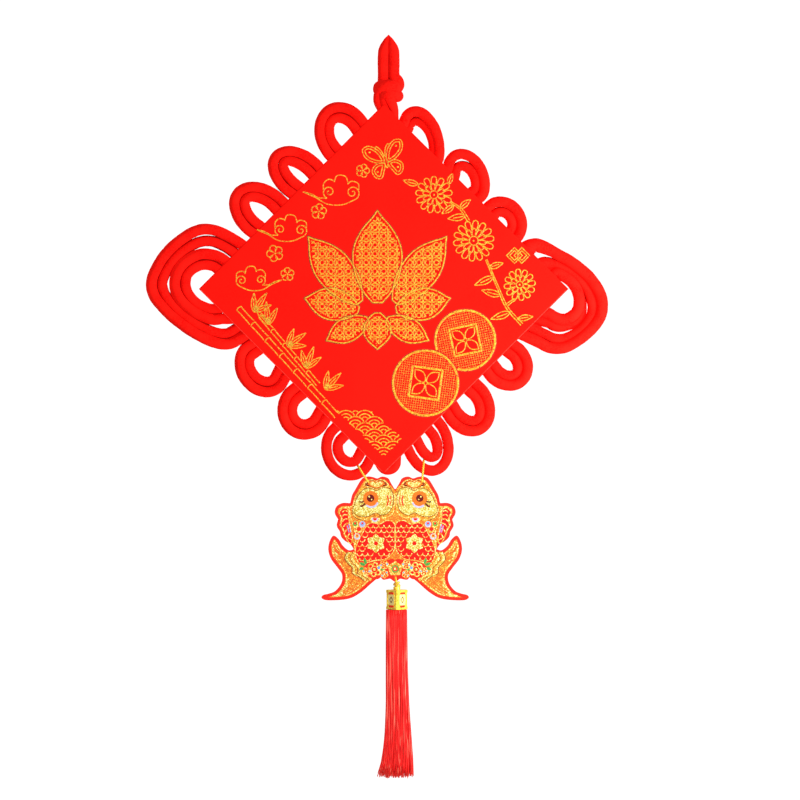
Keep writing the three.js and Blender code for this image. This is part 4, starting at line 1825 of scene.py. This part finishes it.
    def draw_coins(self) -> None:
        """Draws two overlapping coins over the lower right edge, with fine mesh between rim and square."""
        discs = (((78, -49), 28.5, 12), ((40, -90), 31, -8))
        front = discs[1]
        for spot, radius, turn in discs:
            behind = spot != front[0]
            clear = lambda p: not behind or math.dist(p, front[0]) > front[1] + 1.6
            # The outer ring is painted shadow round the coin's bold gold rim.
            for reach, pen in ((radius, BOLD_PEN), (radius + 1.6, PAINTED_SHADOW_PEN)):
                for part in clipped(ring_line(spot, reach, 130), clear, closed=True):
                    self.line(part, pen)
            half = radius * 0.46
            corners = [(-half, -half), (half, -half), (half, half), (-half, half)]
            square = moved(straight_sides(corners, 18), spot, turn)
            for part in clipped(square, clear, closed=True):
                self.line(part, Pen(1.9, Finish.GOLD_LINE, 0.33))
            for k in range(4):
                lean = turn + 45 + 90 * k
                shape = petal(moved([(1.6, 0)], spot, lean)[0], lean, half * 1.05, half * 0.62)
                for part in clipped(shape, clear, closed=True):
                    self.line(part, FINE_PEN)
            mesh_inside = lambda p: math.dist(p, spot) < radius - 1.4 and not inside(p, square) and clear(p)
            for k in range(-15, 16):
                for sideways in (False, True):
                    line = [(k * 2.2, step * 1.1) for step in range(-30, 31)]
                    line = [(y, x) if sideways else (x, y) for x, y in line]
                    for part in clipped(moved(line, spot, turn), mesh_inside):
                        thinned = part if len(part) < 3 else part[::3] + part[-1:]
                        self.line(thinned, MESH_PEN)

    def draw_waves(self) -> None:
        """Draws rows of sea waves in the bottom corner."""
        limit = [(-46, -116), (-12, -116), (8, -134), (18, -143), (0, -161)]
        keep = lambda p: inside(p, limit)
        radius = 9.5
        drawn: list[Point] = []
        for row in range(8):
            y = -161 + row * radius * 0.62
            for column in range(-8, 6):
                x = (column + (row % 2) / 2) * radius * 1.9
                drawn.append((x, y))
        for x, y in drawn:
            lower = [(a, b) for a, b in drawn if b < y and math.dist((a, b), (x, y)) < 2 * radius]
            for reach in (radius, radius * 0.66, radius * 0.34):
                arc = arc_line((x, y), reach, range(0, 181, 10))
                show = lambda p: keep(p) and all(math.dist(p, spot) > radius * 1.02 for spot in lower)
                for part in clipped(arc, show):
                    self.line(part, FINE_PEN)

    def draw_diamonds(self) -> None:
        """Draws two linked diamonds on the right."""
        for spot in ((125, 32), (132, 32)):
            for half in (7.5, 4.6):
                rim = straight_sides([(-half, 0), (0, -half), (half, 0), (0, half)], 8)
                self.line(moved(rim, spot), FINE_PEN, closed=True)


# The pair of fish

FISH_X = 6.3
FISH_TOP = -414.2
FISH_FRONT = -1.5

# Half the outline from corner to corner, as distance from the middle line and down from the top
FISH_OUTLINE = (
    (
        (0.6, 11.4), (4.5, 4.9), (6.3, 1.5), (9.4, -0.1), (13.3, -0.4), (17.2, 1.3), (21.2, 0), (26.1, -0.6),
        (30.6, 0.6), (33.6, 3.9), (38, 11.3), (41.2, 17), (43.2, 25),
    ),
    ((43.2, 25), (51, 25), (56.6, 28.5), (58, 34.4), (54.8, 40.6)),
    ((54.8, 40.6), (56.1, 46.6), (53, 52.4)),
    ((53, 52.4), (51.6, 57.6), (47.6, 61.6), (43, 64.4), (39.8, 69.2)),
    (
        (39.8, 69.2), (44, 70.4), (49.6, 66.6), (54.6, 59.2), (59.2, 56.2), (62.6, 60.8), (64.2, 69.6),
        (61.5, 78.5), (55.2, 87), (51, 93.6), (51.6, 101.4), (57.6, 109.4), (63.4, 111.8), (69.4, 113.4),
        (70.9, 115.4),
        (68.4, 117.6), (57.6, 118.2), (42.9, 116.2), (33.1, 110.8), (22, 101.2), (14.5, 95),
    ),
    ((14.5, 95), (11.6, 98.5), (8.6, 98.2), (4.7, 97.3)),
    ((4.7, 97.3), (2.4, 99.2), (0, 100.8)),
)


@dataclass
class FishPair:
    """Two fish side by side, cut from one board and printed, with glitter on the heads and tails.

    Shapes are drawn for one fish as the distance from the middle line and the distance down from the top.

    Attributes:
        border: the width of the red border.
        lean: how far the shapes being drawn stand in towards the middle line.
    """

    border: float = 3.0
    lean: float = 0.0

    def to_place(self, point: Point, y: float) -> Vector:
        """A place from the distance across the middle line and down from the top."""
        return Vector((FISH_X + point[0], y, FISH_TOP - point[1]))

    def outline(self) -> Line:
        """The whole outline."""
        left: Line = []
        for row in FISH_OUTLINE:
            left += flat_curve([(-x, y) for x, y in row], 1.4)[:-1]
        right = [(-x, y) for x, y in reversed(left)]
        return left + [(0, FISH_OUTLINE[-1][-1][1])] + right

    def build(self) -> None:
        """Makes the fish."""
        self.maker = Maker()
        outline = self.outline()
        plate(self.maker, outline, FISH_FRONT, -FISH_FRONT, Finish.BORDER, self.to_place)
        self.maker.build("fish_board", "glitter_card", ["fish_pair"], smooth=False)
        self.maker = Maker()
        inner = shrink(outline, self.border)
        plate(self.maker, inner, FISH_FRONT - 0.1, FISH_FRONT + 0.1, Finish.TAIL_GLITTER, self.to_place)
        rim = lambda p, height: self.to_place(p, FISH_FRONT - 0.1 - height)
        ribbon(
            self.maker, shrink(outline, self.border + 1.0), Pen(1.0, Finish.GOLD_BAND, 0.08), rim,
            closed=True,
        )
        self.add_tails()
        self.add_bodies()
        self.add_fins()
        self.add_heads()
        self.lean = 0.0
        self.add_flowers()
        self.maker.build("fish_print", "glitter_card", smooth=False)

    def both(self, points: Iterable[Point], level: float, finish: Finish, step: float = 1.2) -> None:
        """Adds a smooth closed patch on each fish.

        Args:
            points: places on its outline.
            level: how far it stands out from the board.
            finish: what it is made of.
            step: about how far apart its edge's points are.
        """
        shape = flat_curve(points, step, closed=True)
        for side in (-1, 1):
            patch = [(side * (x - self.lean), y) for x, y in shape]
            plate(self.maker, patch, FISH_FRONT - level, FISH_FRONT + 0.1, finish, self.to_place)

    def stroke(
        self, points: Iterable[Point], width: float, level: float, finish: Finish, closed: bool = False
    ) -> None:
        """Adds a smooth line on each fish.

        Args:
            points: places along it.
            width: its width.
            level: how far it stands out from the board.
            finish: what it is made of.
            closed: whether its end joins its start.
        """
        row = flat_curve(points, 1.0, closed=closed)
        for side in (-1, 1):
            line = [(side * (x - self.lean), y) for x, y in row]
            on_face = lambda p, height: self.to_place(p, FISH_FRONT - level - height)
            ribbon(self.maker, line, Pen(width, finish, 0.12), on_face, closed)

    def add_heads(self) -> None:
        """Adds the gold heads with their lips, cheeks and eyes."""
        self.lean = 1.0
        collar = [
            (41.8, 31), (40, 23), (35.2, 12.6), (30.4, 6), (19, 11.5), (8, 7), (1.6, 13), (1.2, 26),
            (3, 35), (10, 39.5), (19, 38), (28, 42), (38, 41), (42.4, 36),
        ]
        self.both(collar, 0.2, Finish.COLLAR)
        self.stroke([(42.2, 30), (41.4, 35), (37.4, 39), (29, 40.6), (22, 38.4)], 1.1, 0.24, Finish.GOLD_BAND)
        self.stroke([(16.4, 38.6), (10, 39), (4, 35), (1.8, 26), (1.8, 15)], 1.1, 0.24, Finish.GOLD_BAND)
        self.stroke([(35.4, 12.6), (39.6, 20), (41.4, 28)], 0.8, 0.24, Finish.GOLD_BAND)
        self.stroke([(42.6, 33), (39.6, 38.6), (32, 41.6)], 0.6, 0.26, Finish.DARK)
        face = [
            (18.9, 13.1), (23.8, 10.9), (30.1, 11.2), (36.3, 17.6), (40, 25.9), (41.6, 32.2), (38.4, 36.3),
            (32.2, 38), (25.9, 37.2), (19.7, 34.2), (14.5, 36.4), (9.3, 35.3), (5.1, 31.1), (3, 24.9),
            (3, 17.6),
            (5.6, 11.6), (10.3, 10), (15.5, 11),
        ]
        self.both(face, 0.32, Finish.HEAD_GLITTER)
        self.stroke(face, 0.6, 0.3, Finish.DARK, closed=True)
        self.both(
            [
                (31.6, 7.8), (28.6, 3.6), (23, 2), (19.2, 3.6), (15.4, 2), (9.8, 3.6), (6.8, 7.8),
                (12.6, 9.9), (19.2, 12), (25.8, 9.9),
            ],
            0.34, Finish.GOLD_BAND,
        )
        self.both(
            [
                (30.2, 7.6), (27.4, 4.3), (22.6, 2.9), (19.2, 4.4), (15.8, 2.9), (11, 4.3), (8.2, 7.6),
                (13.2, 9.2), (19.2, 11.1), (25.2, 9.2),
            ],
            0.42, Finish.DARK,
        )
        self.both(
            [
                (29.6, 7.4), (26.8, 4.7), (22.4, 3.5), (19.2, 4.9), (16, 3.5), (11.6, 4.7), (8.8, 7.4),
                (13.6, 8.8), (19.2, 10.6), (24.8, 8.8),
            ],
            0.48, Finish.ORANGE,
        )
        self.both(
            [(25.4, 5.6), (22.6, 4.3), (19.2, 5.4), (15.8, 4.3), (13, 5.6), (15, 8), (19.2, 9.8), (23.4, 8)],
            0.58, Finish.HEAD_GLITTER,
        )
        self.stroke([(27, 5.4), (28.6, 7.2), (25.6, 8.2)], 0.9, 0.56, Finish.DARK)
        self.stroke([(11.4, 5.4), (9.8, 7.2), (12.8, 8.2)], 0.9, 0.56, Finish.DARK)
        self.both(ring_line((24.4, 20.6), 7.4, 26), 0.44, Finish.ORANGE)
        self.stroke([(17.6, 24.4), (20, 27.6), (24.4, 28.8), (28.8, 27.2)], 1.9, 0.5, Finish.PALE)
        self.stroke([(29.8, 25.2), (32.4, 27.6), (34.6, 28)], 1.7, 0.5, Finish.DARK)
        self.stroke([(30.8, 23), (33.4, 24), (35.4, 23.4)], 1.3, 0.5, Finish.DARK)
        self.both(ring_line((24.6, 20.2), 3.6, 18), 0.56, Finish.DARK)
        for spot, size in (((25.9, 18.7), 0.95), ((23.5, 21.5), 0.7)):
            self.both(ring_line(spot, size, 10), 0.66, Finish.HEAD_GLITTER, step=0.5)
        for shift, width in ((0, 0.8), (2.6, 1.3)):
            self.stroke([(6 + shift, 17.5), (5 + shift, 22), (6.2 + shift, 27.5)], width, 0.36, Finish.BORDER)

    def add_bodies(self) -> None:
        """Adds the red bodies with rows of scales and a flower between them."""
        body = [
            (1.2, 44), (8, 41.5), (15, 45), (22, 43.6), (27, 46), (31.5, 54), (35.8, 62), (38.4, 71),
            (37, 78.5),
            (32.5, 84.5), (27, 82), (19, 79.8), (10, 78.8), (4.6, 75), (1.2, 70),
        ]
        self.both(body, 0.2, Finish.PANEL)
        shape = flat_curve(body, 1.2, closed=True)
        limit = shrink(shape, 1.0)
        pitch = 5.2
        for row in range(9):
            for column in range(-1, 9):
                x, y = 3 + (column + (row % 2) / 2) * pitch, 46 + row * pitch * 0.86
                if math.dist((x, y), (18.5, 63.5)) < 10.4:
                    continue
                arc = arc_line((x, y), pitch * 0.5, range(0, 181, 15), pitch * 0.55)
                for part in clipped(arc, lambda p: inside(p, limit)):
                    self.stroke(part, 0.75, 0.22, Finish.GOLD_BAND)
        for k in range(6):
            turn = 60 * k + 30
            outline = petal(moved([(1.8, 0)], (18.5, 63.5), turn)[0], turn, 7.4, 6.2)
            self.both(outline[::2], 0.34, Finish.HEAD_GLITTER, step=0.8)
        self.both(ring_line((18.5, 63.5), 1.9, 12), 0.46, Finish.PANEL, step=0.6)
        self.stroke(body, 0.8, 0.2, Finish.GOLD_BAND, closed=True)

    def add_fins(self) -> None:
        """Adds the side fins with gold rays and small petals."""
        inner = [
            (45.4, 31), (49.6, 29.6), (53.6, 33.6), (51.6, 39.6), (52.6, 45.6), (49.2, 52), (47, 58.6),
            (43, 64), (41, 60), (43, 49), (44.6, 39),
        ]
        self.both(inner, 0.12, Finish.PANEL)
        self.stroke(inner, 0.9, 0.12, Finish.GOLD_BAND, closed=True)
        rays = (
            [(45.5, 33), (48.5, 32), (50.6, 33.6)], [(45.6, 36.4), (49, 36), (50.6, 37.6)],
            [(45.2, 40), (48.6, 40.4), (50.6, 42.6)], [(44.6, 44), (48, 45.4), (49.6, 47.6)],
            [(44.2, 49), (46.8, 50.4), (47.8, 53)], [(43.4, 54), (45.2, 56), (45.4, 58.6)],
        )
        for row in rays:
            self.stroke(row, 1.0, 0.16, Finish.GOLD_BAND)
        self.stroke(
            [(44.6, 28), (43, 38), (40, 48), (37.5, 57), (39, 65), (38.6, 70)], 1.2, 0.3,
            Finish.GOLD_BAND,
        )
        for row in ([(44.6, 45), (43.4, 49), (42.8, 53)], [(46.2, 46.4), (45.2, 50), (44.4, 53)]):
            self.stroke(row, 0.9, 0.3, Finish.BLUE)
        shade = [(42.6, 42), (36, 43.6), (29.4, 43), (31, 48), (34.6, 55), (38, 62), (39.4, 56), (40.6, 49)]
        self.both(shade, 0.22, Finish.BORDER)
        scallops = (
            ((31.5, 45.2), 3, Finish.PALE, Finish.BLUE), ((38.4, 45.4), 3.4, Finish.GOLD_BAND, Finish.GREEN),
            ((34.8, 50.4), 3.2, Finish.GOLD_BAND, Finish.BORDER),
            ((36.6, 57), 3, Finish.PALE, Finish.GOLD_BAND),
        )
        for k, (spot, radius, outer, inner_finish) in enumerate(scallops):
            x, y = spot
            self.both(ring_line(spot, radius, 14), 0.3 + 0.03 * k, outer, step=0.6)
            middle = ring_line((x, y - radius * 0.2), radius * 0.66, 12)
            self.both(middle, 0.4 + 0.03 * k, inner_finish, step=0.6)
            inmost = ring_line((x, y - radius * 0.3), radius * 0.34, 10)
            self.both(inmost, 0.5 + 0.03 * k, Finish.BORDER, step=0.5)

    def add_tails(self) -> None:
        """Adds the scalloped gold bands where each tail starts, and the tail's rays."""
        band = [(39, 72), (41.4, 78), (37.6, 83.6), (34.4, 86.6), (34, 92.4), (28.4, 95), (23, 99)]
        bands = (
            (0, 2.4, Finish.GOLD_BAND), (2.0, 0.6, Finish.DARK), (3.2, 2.0, Finish.COLLAR),
            (5.4, 2.2, Finish.HEAD_GLITTER), (7.1, 0.6, Finish.DARK),
        )
        for shift, width, finish in bands:
            self.stroke([(x + shift, y) for x, y in band], width, 0.14 + 0.01 * shift, finish)
        rays = (
            [(52, 72), (56, 69), (58.6, 63)], [(51.5, 80), (55.4, 78), (57.6, 72)],
            [(48, 88), (51, 86), (54, 82)],
            [(45, 97), (47.6, 102), (51.4, 107.4)], [(40, 102), (45, 107), (52, 111)],
            [(35, 103.6), (42, 109.4), (50, 113)],
        )
        for row in rays:
            self.stroke(row, 0.7, 0.12, Finish.GOLD_BAND)
            self.stroke([(x + 1.2, y + 1.4) for x, y in row], 0.5, 0.12, Finish.BORDER)
        curls = (
            [(55.6, 76.4), (57, 72.8), (59.4, 71.6), (59.6, 68)],
            [(43.8, 98.4), (46.2, 98.2), (47.2, 101), (46, 104), (48.6, 106.6)],
            [(49.6, 106.8), (52.4, 109.8), (50.6, 111.6), (53, 113.4)],
            [(52, 111.6), (56, 113.4), (60, 114.4)],
        )
        for row in curls:
            self.stroke(row, 1.6, 0.16, Finish.HEAD_GLITTER)

    def add_flowers(self) -> None:
        """Adds the flowers and leaves over the bottom, and the scallops under the heads."""
        scallop = ((4.8, 0.36, Finish.HEAD_GLITTER), (3.4, 0.46, Finish.PALE), (2, 0.54, Finish.BORDER))
        for reach, level, finish in scallop:
            self.both(arc_line((19.4, 39.6), reach, range(0, 181, 20)), level, finish, step=0.8)
        base = [
            (1, 79), (8, 79.4), (18, 80.6), (27, 83), (30.6, 87), (29.6, 92), (23.6, 96.6), (17, 98),
            (12, 95.4), (8, 97), (1, 97),
        ]
        self.both(base, 0.26, Finish.BORDER)
        flowers = (
            ((20, 88.6), 1.25, 20), ((27.6, 90.4), 0.72, 0), ((10.6, 84), 0.8, 10), ((10.4, 93), 0.7, 35),
        )
        for n, (spot, size, start) in enumerate(flowers):
            level = 0.32 + 0.09 * n
            for k in range(6):
                turn = 60 * k + start
                here = moved([(3.5 * size, 0)], spot, turn)[0]
                self.both(ring_line(here, 2.3 * size, 12), level + 0.006 * k, Finish.GOLD_BAND, step=0.7)
                dot_at = moved([(3.7 * size, 0)], spot, turn)[0]
                tone = Finish.BLUE if k % 3 == 0 else Finish.PANEL
                self.both(ring_line(dot_at, 1.15 * size, 9), level + 0.05 + 0.006 * k, tone, step=0.5)
            self.both(ring_line(spot, 2.2 * size, 12), level + 0.1, Finish.PANEL, step=0.6)
            self.both(ring_line(spot, 1.1 * size, 9), level + 0.13, Finish.HEAD_GLITTER, step=0.5)
        leaves = (
            ((28, 83.6), 75, 6.6), ((28.6, 84.6), 25, 6.4), ((30, 87), 340, 5), ((14, 88), 200, 5),
            ((5, 91), 100, 5), ((5.4, 84), 240, 4.6),
        )
        for n, (foot, turn, length) in enumerate(leaves):
            self.both(petal(foot, -turn, length, 3.0)[::2], 0.34 + 0.02 * n, Finish.GREEN, step=0.7)
        centre = (
            (6.2, 0.7, Finish.GOLD_BAND), (5, 0.76, Finish.COLLAR), (3.6, 0.82, Finish.GREEN),
            (2.4, 0.88, Finish.BORDER), (1.2, 0.94, Finish.HEAD_GLITTER),
        )
        for radius, level, finish in centre:
            disc = ring_line((0, 88), radius, 24)
            plate(self.maker, disc, FISH_FRONT - level, FISH_FRONT + 0.1, finish, self.to_place)
        for k in range(5):
            tip = ring_line(moved([(5.6, 0)], (0, 88), 72 * k + 54)[0], 1.7, 10)
            front = FISH_FRONT - 0.96 - 0.01 * k
            plate(self.maker, tip, front, FISH_FRONT + 0.1, Finish.GOLD_BAND, self.to_place)


# Strings


@dataclass
class GoldStrings:
    """Two-ply gold strings: from the lowest ears to the fish, and from the fish to the tassel.

    Attributes:
        ply: the radius of one ply.
        lay: the length of one turn of the twist.
    """

    ply: float = 0.62
    lay: float = 4.2

    def twist(self, maker: Maker, row: list[Vector]) -> None:
        """Adds a two-ply string along a path.

        Args:
            maker: the piece that it goes to.
            row: places along its middle.
        """
        path = smooth_path(row, 0.5)
        frames = turned_frames(path, Vector((0, 1, 0)))
        for start in (0.0, math.pi):
            gone = 0.0
            ply = []
            for i, (side, up) in enumerate(frames):
                gone += (path[i] - path[max(i - 1, 0)]).length
                turn = start + 2 * math.pi * gone / self.lay
                ply.append(path[i] + (side * math.cos(turn) + up * math.sin(turn)) * self.ply * 0.85)
            maker.add(*Sweep(self.ply, sides=7).mesh(ply), Finish.THREAD)

    def threaded(self, upper: Vector, lower: Vector, stops: Iterable[Point]) -> list[Vector]:
        """A path between two holes.

        Args:
            upper: the upper hole.
            lower: the lower hole.
            stops: for each point its share of the way down, and its Y.

        Returns:
            The path's points.
        """
        row = []
        for share, y in stops:
            spot = upper.lerp(lower, share)
            row.append(Vector((spot.x, y, spot.z)))
        return row

    def build(self) -> None:
        """Makes the strings."""
        for name, letter, angle, side in (("left", "I", 17, -1), ("right", "L", 30, 1)):
            ear = next(one for one in EARS if one.name == letter)
            along, out = ear.point(CORD.pitch + 1.2, angle)
            upper = ear.edge.at(along, out)
            lower = Vector((FISH_X + side * 25.8, 0, FISH_TOP - 4.6))
            stops = (
                (0.5, 6), (0.25, 6.4), (0.08, 5.1), (0, 2.6), (0, -2.6), (0.08, -5.1), (0.25, -6.4),
                (0.5, -6.4),
                (0.8, -4.5), (1, -1.8), (1, 1.8), (0.8, 4.5), (0.6, 6.2),
            )
            row = self.threaded(upper, lower, stops)
            maker = Maker()
            self.twist(maker, row)
            maker.build(f"gold_string_{name}", "gold_thread", [f"string_{name}"])
        self.build_tassel_string()

    def build_tassel_string(self) -> None:
        """Makes the loop through the fish and the small knot on it."""
        maker = Maker()
        hole = Vector((FISH_X, 0, FISH_TOP - 95.7))
        knot = Vector((7.9, 0, -517))
        stops = ((1, -1), (0.6, -3.1), (0.25, -3.1), (0, -1.2), (0, 1.2), (0.25, 3.1), (0.6, 3.1), (1, 1))
        self.twist(maker, self.threaded(hole, knot, stops))
        for z, tilt, wide in ((-515.9, 14, 2.2), (-517.8, -8, 2.6), (-519.7, 12, 2.3)):
            ring = []
            for i in range(24):
                turn = 2 * math.pi * i / 24
                across = wide * math.cos(turn)
                rise = math.tan(math.radians(tilt)) * across
                ring.append(Vector((knot.x + across, wide * math.sin(turn), z + rise)))
            maker.add(*Sweep(1.05, sides=8, closed=True, up=Vector((0, 0, 1))).mesh(ring), Finish.THREAD)
        maker.build("gold_string_tassel", "gold_thread", ["tassel_string"])


# Tassel


@dataclass
class Cap:
    """A square gilt cap seen on its corner, with a round collar and a medallion on each face.

    Attributes:
        x: its middle.
        top: the height of its top edge.
        bottom: the height of its bottom edge.
        corner: how far its corners stand out.
        band: the height of the bands at its top and bottom.
    """

    x: float = 7.9
    top: float = -522.6
    bottom: float = -540.9
    corner: float = 10.4
    band: float = 2.2

    def build(self) -> None:
        """Makes the cap."""
        maker = Maker()
        waist = self.corner - 0.5
        rows = [
            (self.corner * 0.9, self.top + 0.4), (self.corner, self.top), (self.corner, self.top - self.band),
            (waist, self.top - self.band - 0.5), (waist, self.bottom + self.band + 0.5),
            (self.corner, self.bottom + self.band), (self.corner, self.bottom), (
                self.corner * 0.93, self.bottom - 0.2,
            ),
        ]
        points = []
        for reach, z in rows:
            for k in range(4):
                for shift in (-0.07, 0.07):
                    turn = math.pi / 2 * k + shift
                    points.append(Vector((self.x + reach * math.cos(turn), reach * math.sin(turn), z)))
        faces = []
        for i in range(len(rows) - 1):
            for k in range(8):
                faces.append((i * 8 + k, (i + 1) * 8 + k, (i + 1) * 8 + (k + 1) % 8, i * 8 + (k + 1) % 8))
        faces.append(tuple(range(8)))
        faces.append(tuple(reversed(range((len(rows) - 1) * 8, len(rows) * 8))))
        maker.add(points, faces, Finish.GILT)
        collar = [Vector((self.x, 0, z)) for z in (-519.6, -520.4, -521.6, -522.8)]
        maker.add(*Sweep(3.4, sides=20).mesh(collar), Finish.GILT)
        piece = maker.build("gilt_cap", "gilt_cap", ["tassel_cap"], smooth=False)
        outward(piece)
        self.build_medallions()

    def build_medallions(self) -> None:
        """Makes the lantern-like medallion on each face, with red ends and a dark lozenge."""
        maker = Maker()
        middle = (self.top + self.bottom) / 2
        reach = (self.corner - 0.5) * HALF_SQUARE
        for k in range(4):
            turn = math.pi / 2 * k + math.pi / 4
            out = Vector((math.cos(turn), math.sin(turn), 0))
            side = Vector((-math.sin(turn), math.cos(turn), 0))
            face = Vector((self.x, 0, middle)) + out * (reach + 0.25)
            to_place = lambda p, height: face + out * height + side * p[0] + Vector((0, 0, p[1]))
            on_face = lambda p, y: to_place(p, -y)
            on_medallion = lambda p, height: to_place(p, 0.5 + height)
            body = [
                (-3.7, -5), (3.7, -5), (4.5, -2.4), (4.5, 2.4), (3.7, 5), (-3.7, 5), (-4.5, 2.4),
                (-4.5, -2.4),
            ]
            plate(maker, flat_curve(body, 0.8, closed=True), -0.5, 0.6, Finish.CREAM, on_face)
            for sign in (-1, 1):
                end = [(-3.4, sign * 5.1), (3.4, sign * 5.1), (2.6, sign * 7.3), (-2.6, sign * 7.3)]
                plate(maker, end if sign > 0 else end[::-1], -0.75, 0.6, Finish.PANEL, on_face)
            rim = flat_curve(body, 0.8, closed=True)
            ribbon(maker, rim, Pen(0.8, Finish.GILT, 0.35), on_medallion, closed=True)
            lozenge = straight_sides([(0, 2.9), (-1.9, 0), (0, -2.9), (1.9, 0)], 5)
            ribbon(maker, lozenge, Pen(0.85, Finish.DARK, 0.12), on_medallion, closed=True)
        maker.build("cap_medallions", "gilt_cap", smooth=False)


# The tassel's outline: distance down from the head, middle, half-width and half-depth
SKIRT = (
    (0, 7.6, 10.3, 9.4),
    (48, 7.9, 10.8, 9.6),
    (90, 8.6, 11.7, 10.2),
    (120, 9.1, 13.3, 11.4),
    (142, 8.6, 15.5, 13),
    (157.5, 6.4, 18.3, 15),
)


@dataclass
class Tassel:
    """A bundle of loose yarn strands under a fused head.

    Attributes:
        strands: how many there are.
        half: the half-width of one.
        head: the height of the head's top.
        head_deep: the head's own height.
        seed: where the chances start.
    """

    strands: int = 560
    half: float = 0.5
    head: float = -541.3
    head_deep: float = 4
    seed: int = 7

    def level(self, down: float) -> tuple[float, float, float]:
        """The middle, half-width and half-depth at a distance below the head."""
        for (d0, *low), (d1, *high) in zip(SKIRT, SKIRT[1:]):
            if down <= d1:
                share = (down - d0) / (d1 - d0)
                return tuple(a + (b - a) * share for a, b in zip(low, high))
        return tuple(SKIRT[-1][1:])

    def build(self) -> None:
        """Makes the tassel."""
        chance = random.Random(self.seed)
        maker = Maker()
        head = [Vector((7.6, 0, self.head - z)) for z in (0.2, 1.2, 2.6, self.head_deep)]
        maker.add(*Sweep(8.6, sides=28).mesh(head), Finish.YARN)
        total = SKIRT[-1][0]
        for _ in range(self.strands):
            share = math.sqrt(chance.uniform(0.02, 1.0))
            turn = chance.uniform(0, 2 * math.pi)
            length = total + self.head_deep / 2 + chance.uniform(-4.5, 1.5)
            sway = chance.uniform(-0.25, 0.25)
            phase = chance.uniform(0, 6.3)
            path = []
            for i in range(17):
                down = length * i / 16
                x, wide, deep = self.level(min(max(down - self.head_deep / 2, 0), total))
                drift = turn + sway * (i / 16) ** 2
                ripple = 0.35 * math.sin(phase + down / 21) * i / 16
                across = x + share * (wide - self.half) * math.cos(drift) + ripple
                back = share * (deep - self.half) * math.sin(drift) + ripple * 0.6
                path.append(Vector((across, back, self.head - down - 0.2)))
            taper = lambda part: self.half * (1 - 0.45 * part**4)
            maker.add(*Sweep(taper, sides=4).mesh(path), Finish.YARN)
        maker.build("yarn_tassel", "yarn", ["tassel"])


# The room


@dataclass
class Room:
    """Floor, lights, white surround and camera.

    Attributes:
        aim: the point of the object at the middle of the photograph, as X and Z.
        field: the width of the photograph's frame at the cord.
        lens: the lens's length.
        sensor: the width of its sensor.
    """

    aim: Point = (10.94, -340.2)
    field: float = 768
    lens: float = 150
    sensor: float = 36

    def build(self) -> None:
        """Makes the room."""
        self.build_camera()
        self.build_light()
        self.build_floor()

    def build_camera(self) -> None:
        """Makes the camera, square to the front."""
        data = bpy.data.cameras.new("camera")
        data.lens = self.lens
        data.sensor_width = self.sensor
        camera = bpy.data.objects.new("camera", data)
        bpy.context.scene.collection.objects.link(camera)
        distance = self.field * self.lens / self.sensor
        camera.location = Vector((self.aim[0], -distance, self.aim[1])) * MM
        camera.rotation_euler = (math.pi / 2, 0, 0)
        bpy.context.scene.camera = camera

    def lamp(self, name: str, at: Vector, size: float, power: float, shadow: bool = True) -> None:
        """Adds a soft square lamp that faces the object.

        Args:
            name: its name.
            at: where it stands, in metres.
            size: the length of its side, in metres.
            power: its power in watts.
            shadow: whether it casts shadows.
        """
        data = bpy.data.lights.new(name, "AREA")
        data.size = size
        data.energy = power
        light = bpy.data.objects.new(name, data)
        light.location = at
        aim = Vector((self.aim[0] * MM, 0, self.aim[1] * MM))
        light.rotation_euler = (aim - at).to_track_quat("-Z", "Y").to_euler()
        data.use_shadow = shadow
        bpy.context.scene.collection.objects.link(light)

    def build_light(self) -> None:
        """Makes a white surround, which the camera sees as paper white, and two soft lamps."""
        world = bpy.data.worlds.new("white_surround")
        bpy.context.scene.world = world
        world.use_nodes = True
        tree = world.node_tree
        background = tree.nodes["Background"]
        background.inputs["Color"].default_value = (1, 1, 1, 1)
        background.inputs["Strength"].default_value = 0.66
        seen = add_node(tree, "ShaderNodeBackground", {"Color": (1, 1, 1, 1), "Strength": 1.1})
        rays = add_node(tree, "ShaderNodeLightPath")
        both = add_node(tree, "ShaderNodeMixShader", {"Fac": rays.outputs["Is Camera Ray"]})
        tree.links.new(background.outputs[0], both.inputs[1])
        tree.links.new(seen.outputs[0], both.inputs[2])
        tree.links.new(both.outputs[0], tree.nodes["World Output"].inputs["Surface"])
        self.lamp("key", Vector((0.5, -0.34, -0.4)), 0.3, 8, shadow=False)
        self.lamp("front", Vector((0.3, -2.6, 0.5)), 1.2, 10.5)
        bpy.context.scene.view_settings.view_transform = "Standard"

    def build_floor(self) -> None:
        """Makes the pale floor, well below the tassel."""
        reach, z = 4000, -1300
        corners = [Vector((x * reach, y * reach, z)) for x, y in ((-1, -1), (1, -1), (1, 1), (-1, 1))]
        mesh = bpy.data.meshes.new("floor")
        mesh.from_pydata([c * MM for c in corners], [], [(0, 1, 2, 3)])
        mesh.materials.append(material_of(Finish.FLOOR))
        floor = bpy.data.objects.new("floor", mesh)
        bpy.context.scene.collection.objects.link(floor)


def main() -> None:
    """Builds the ornament and its room."""
    for part in (Room(), KnotCord(), VelvetBoard(), Drawing(), GoldStrings(), FishPair(), Cap(), Tassel()):
        log.info("making %s", type(part).__name__)
        part.build()


if __name__ == "__main__":
    main()
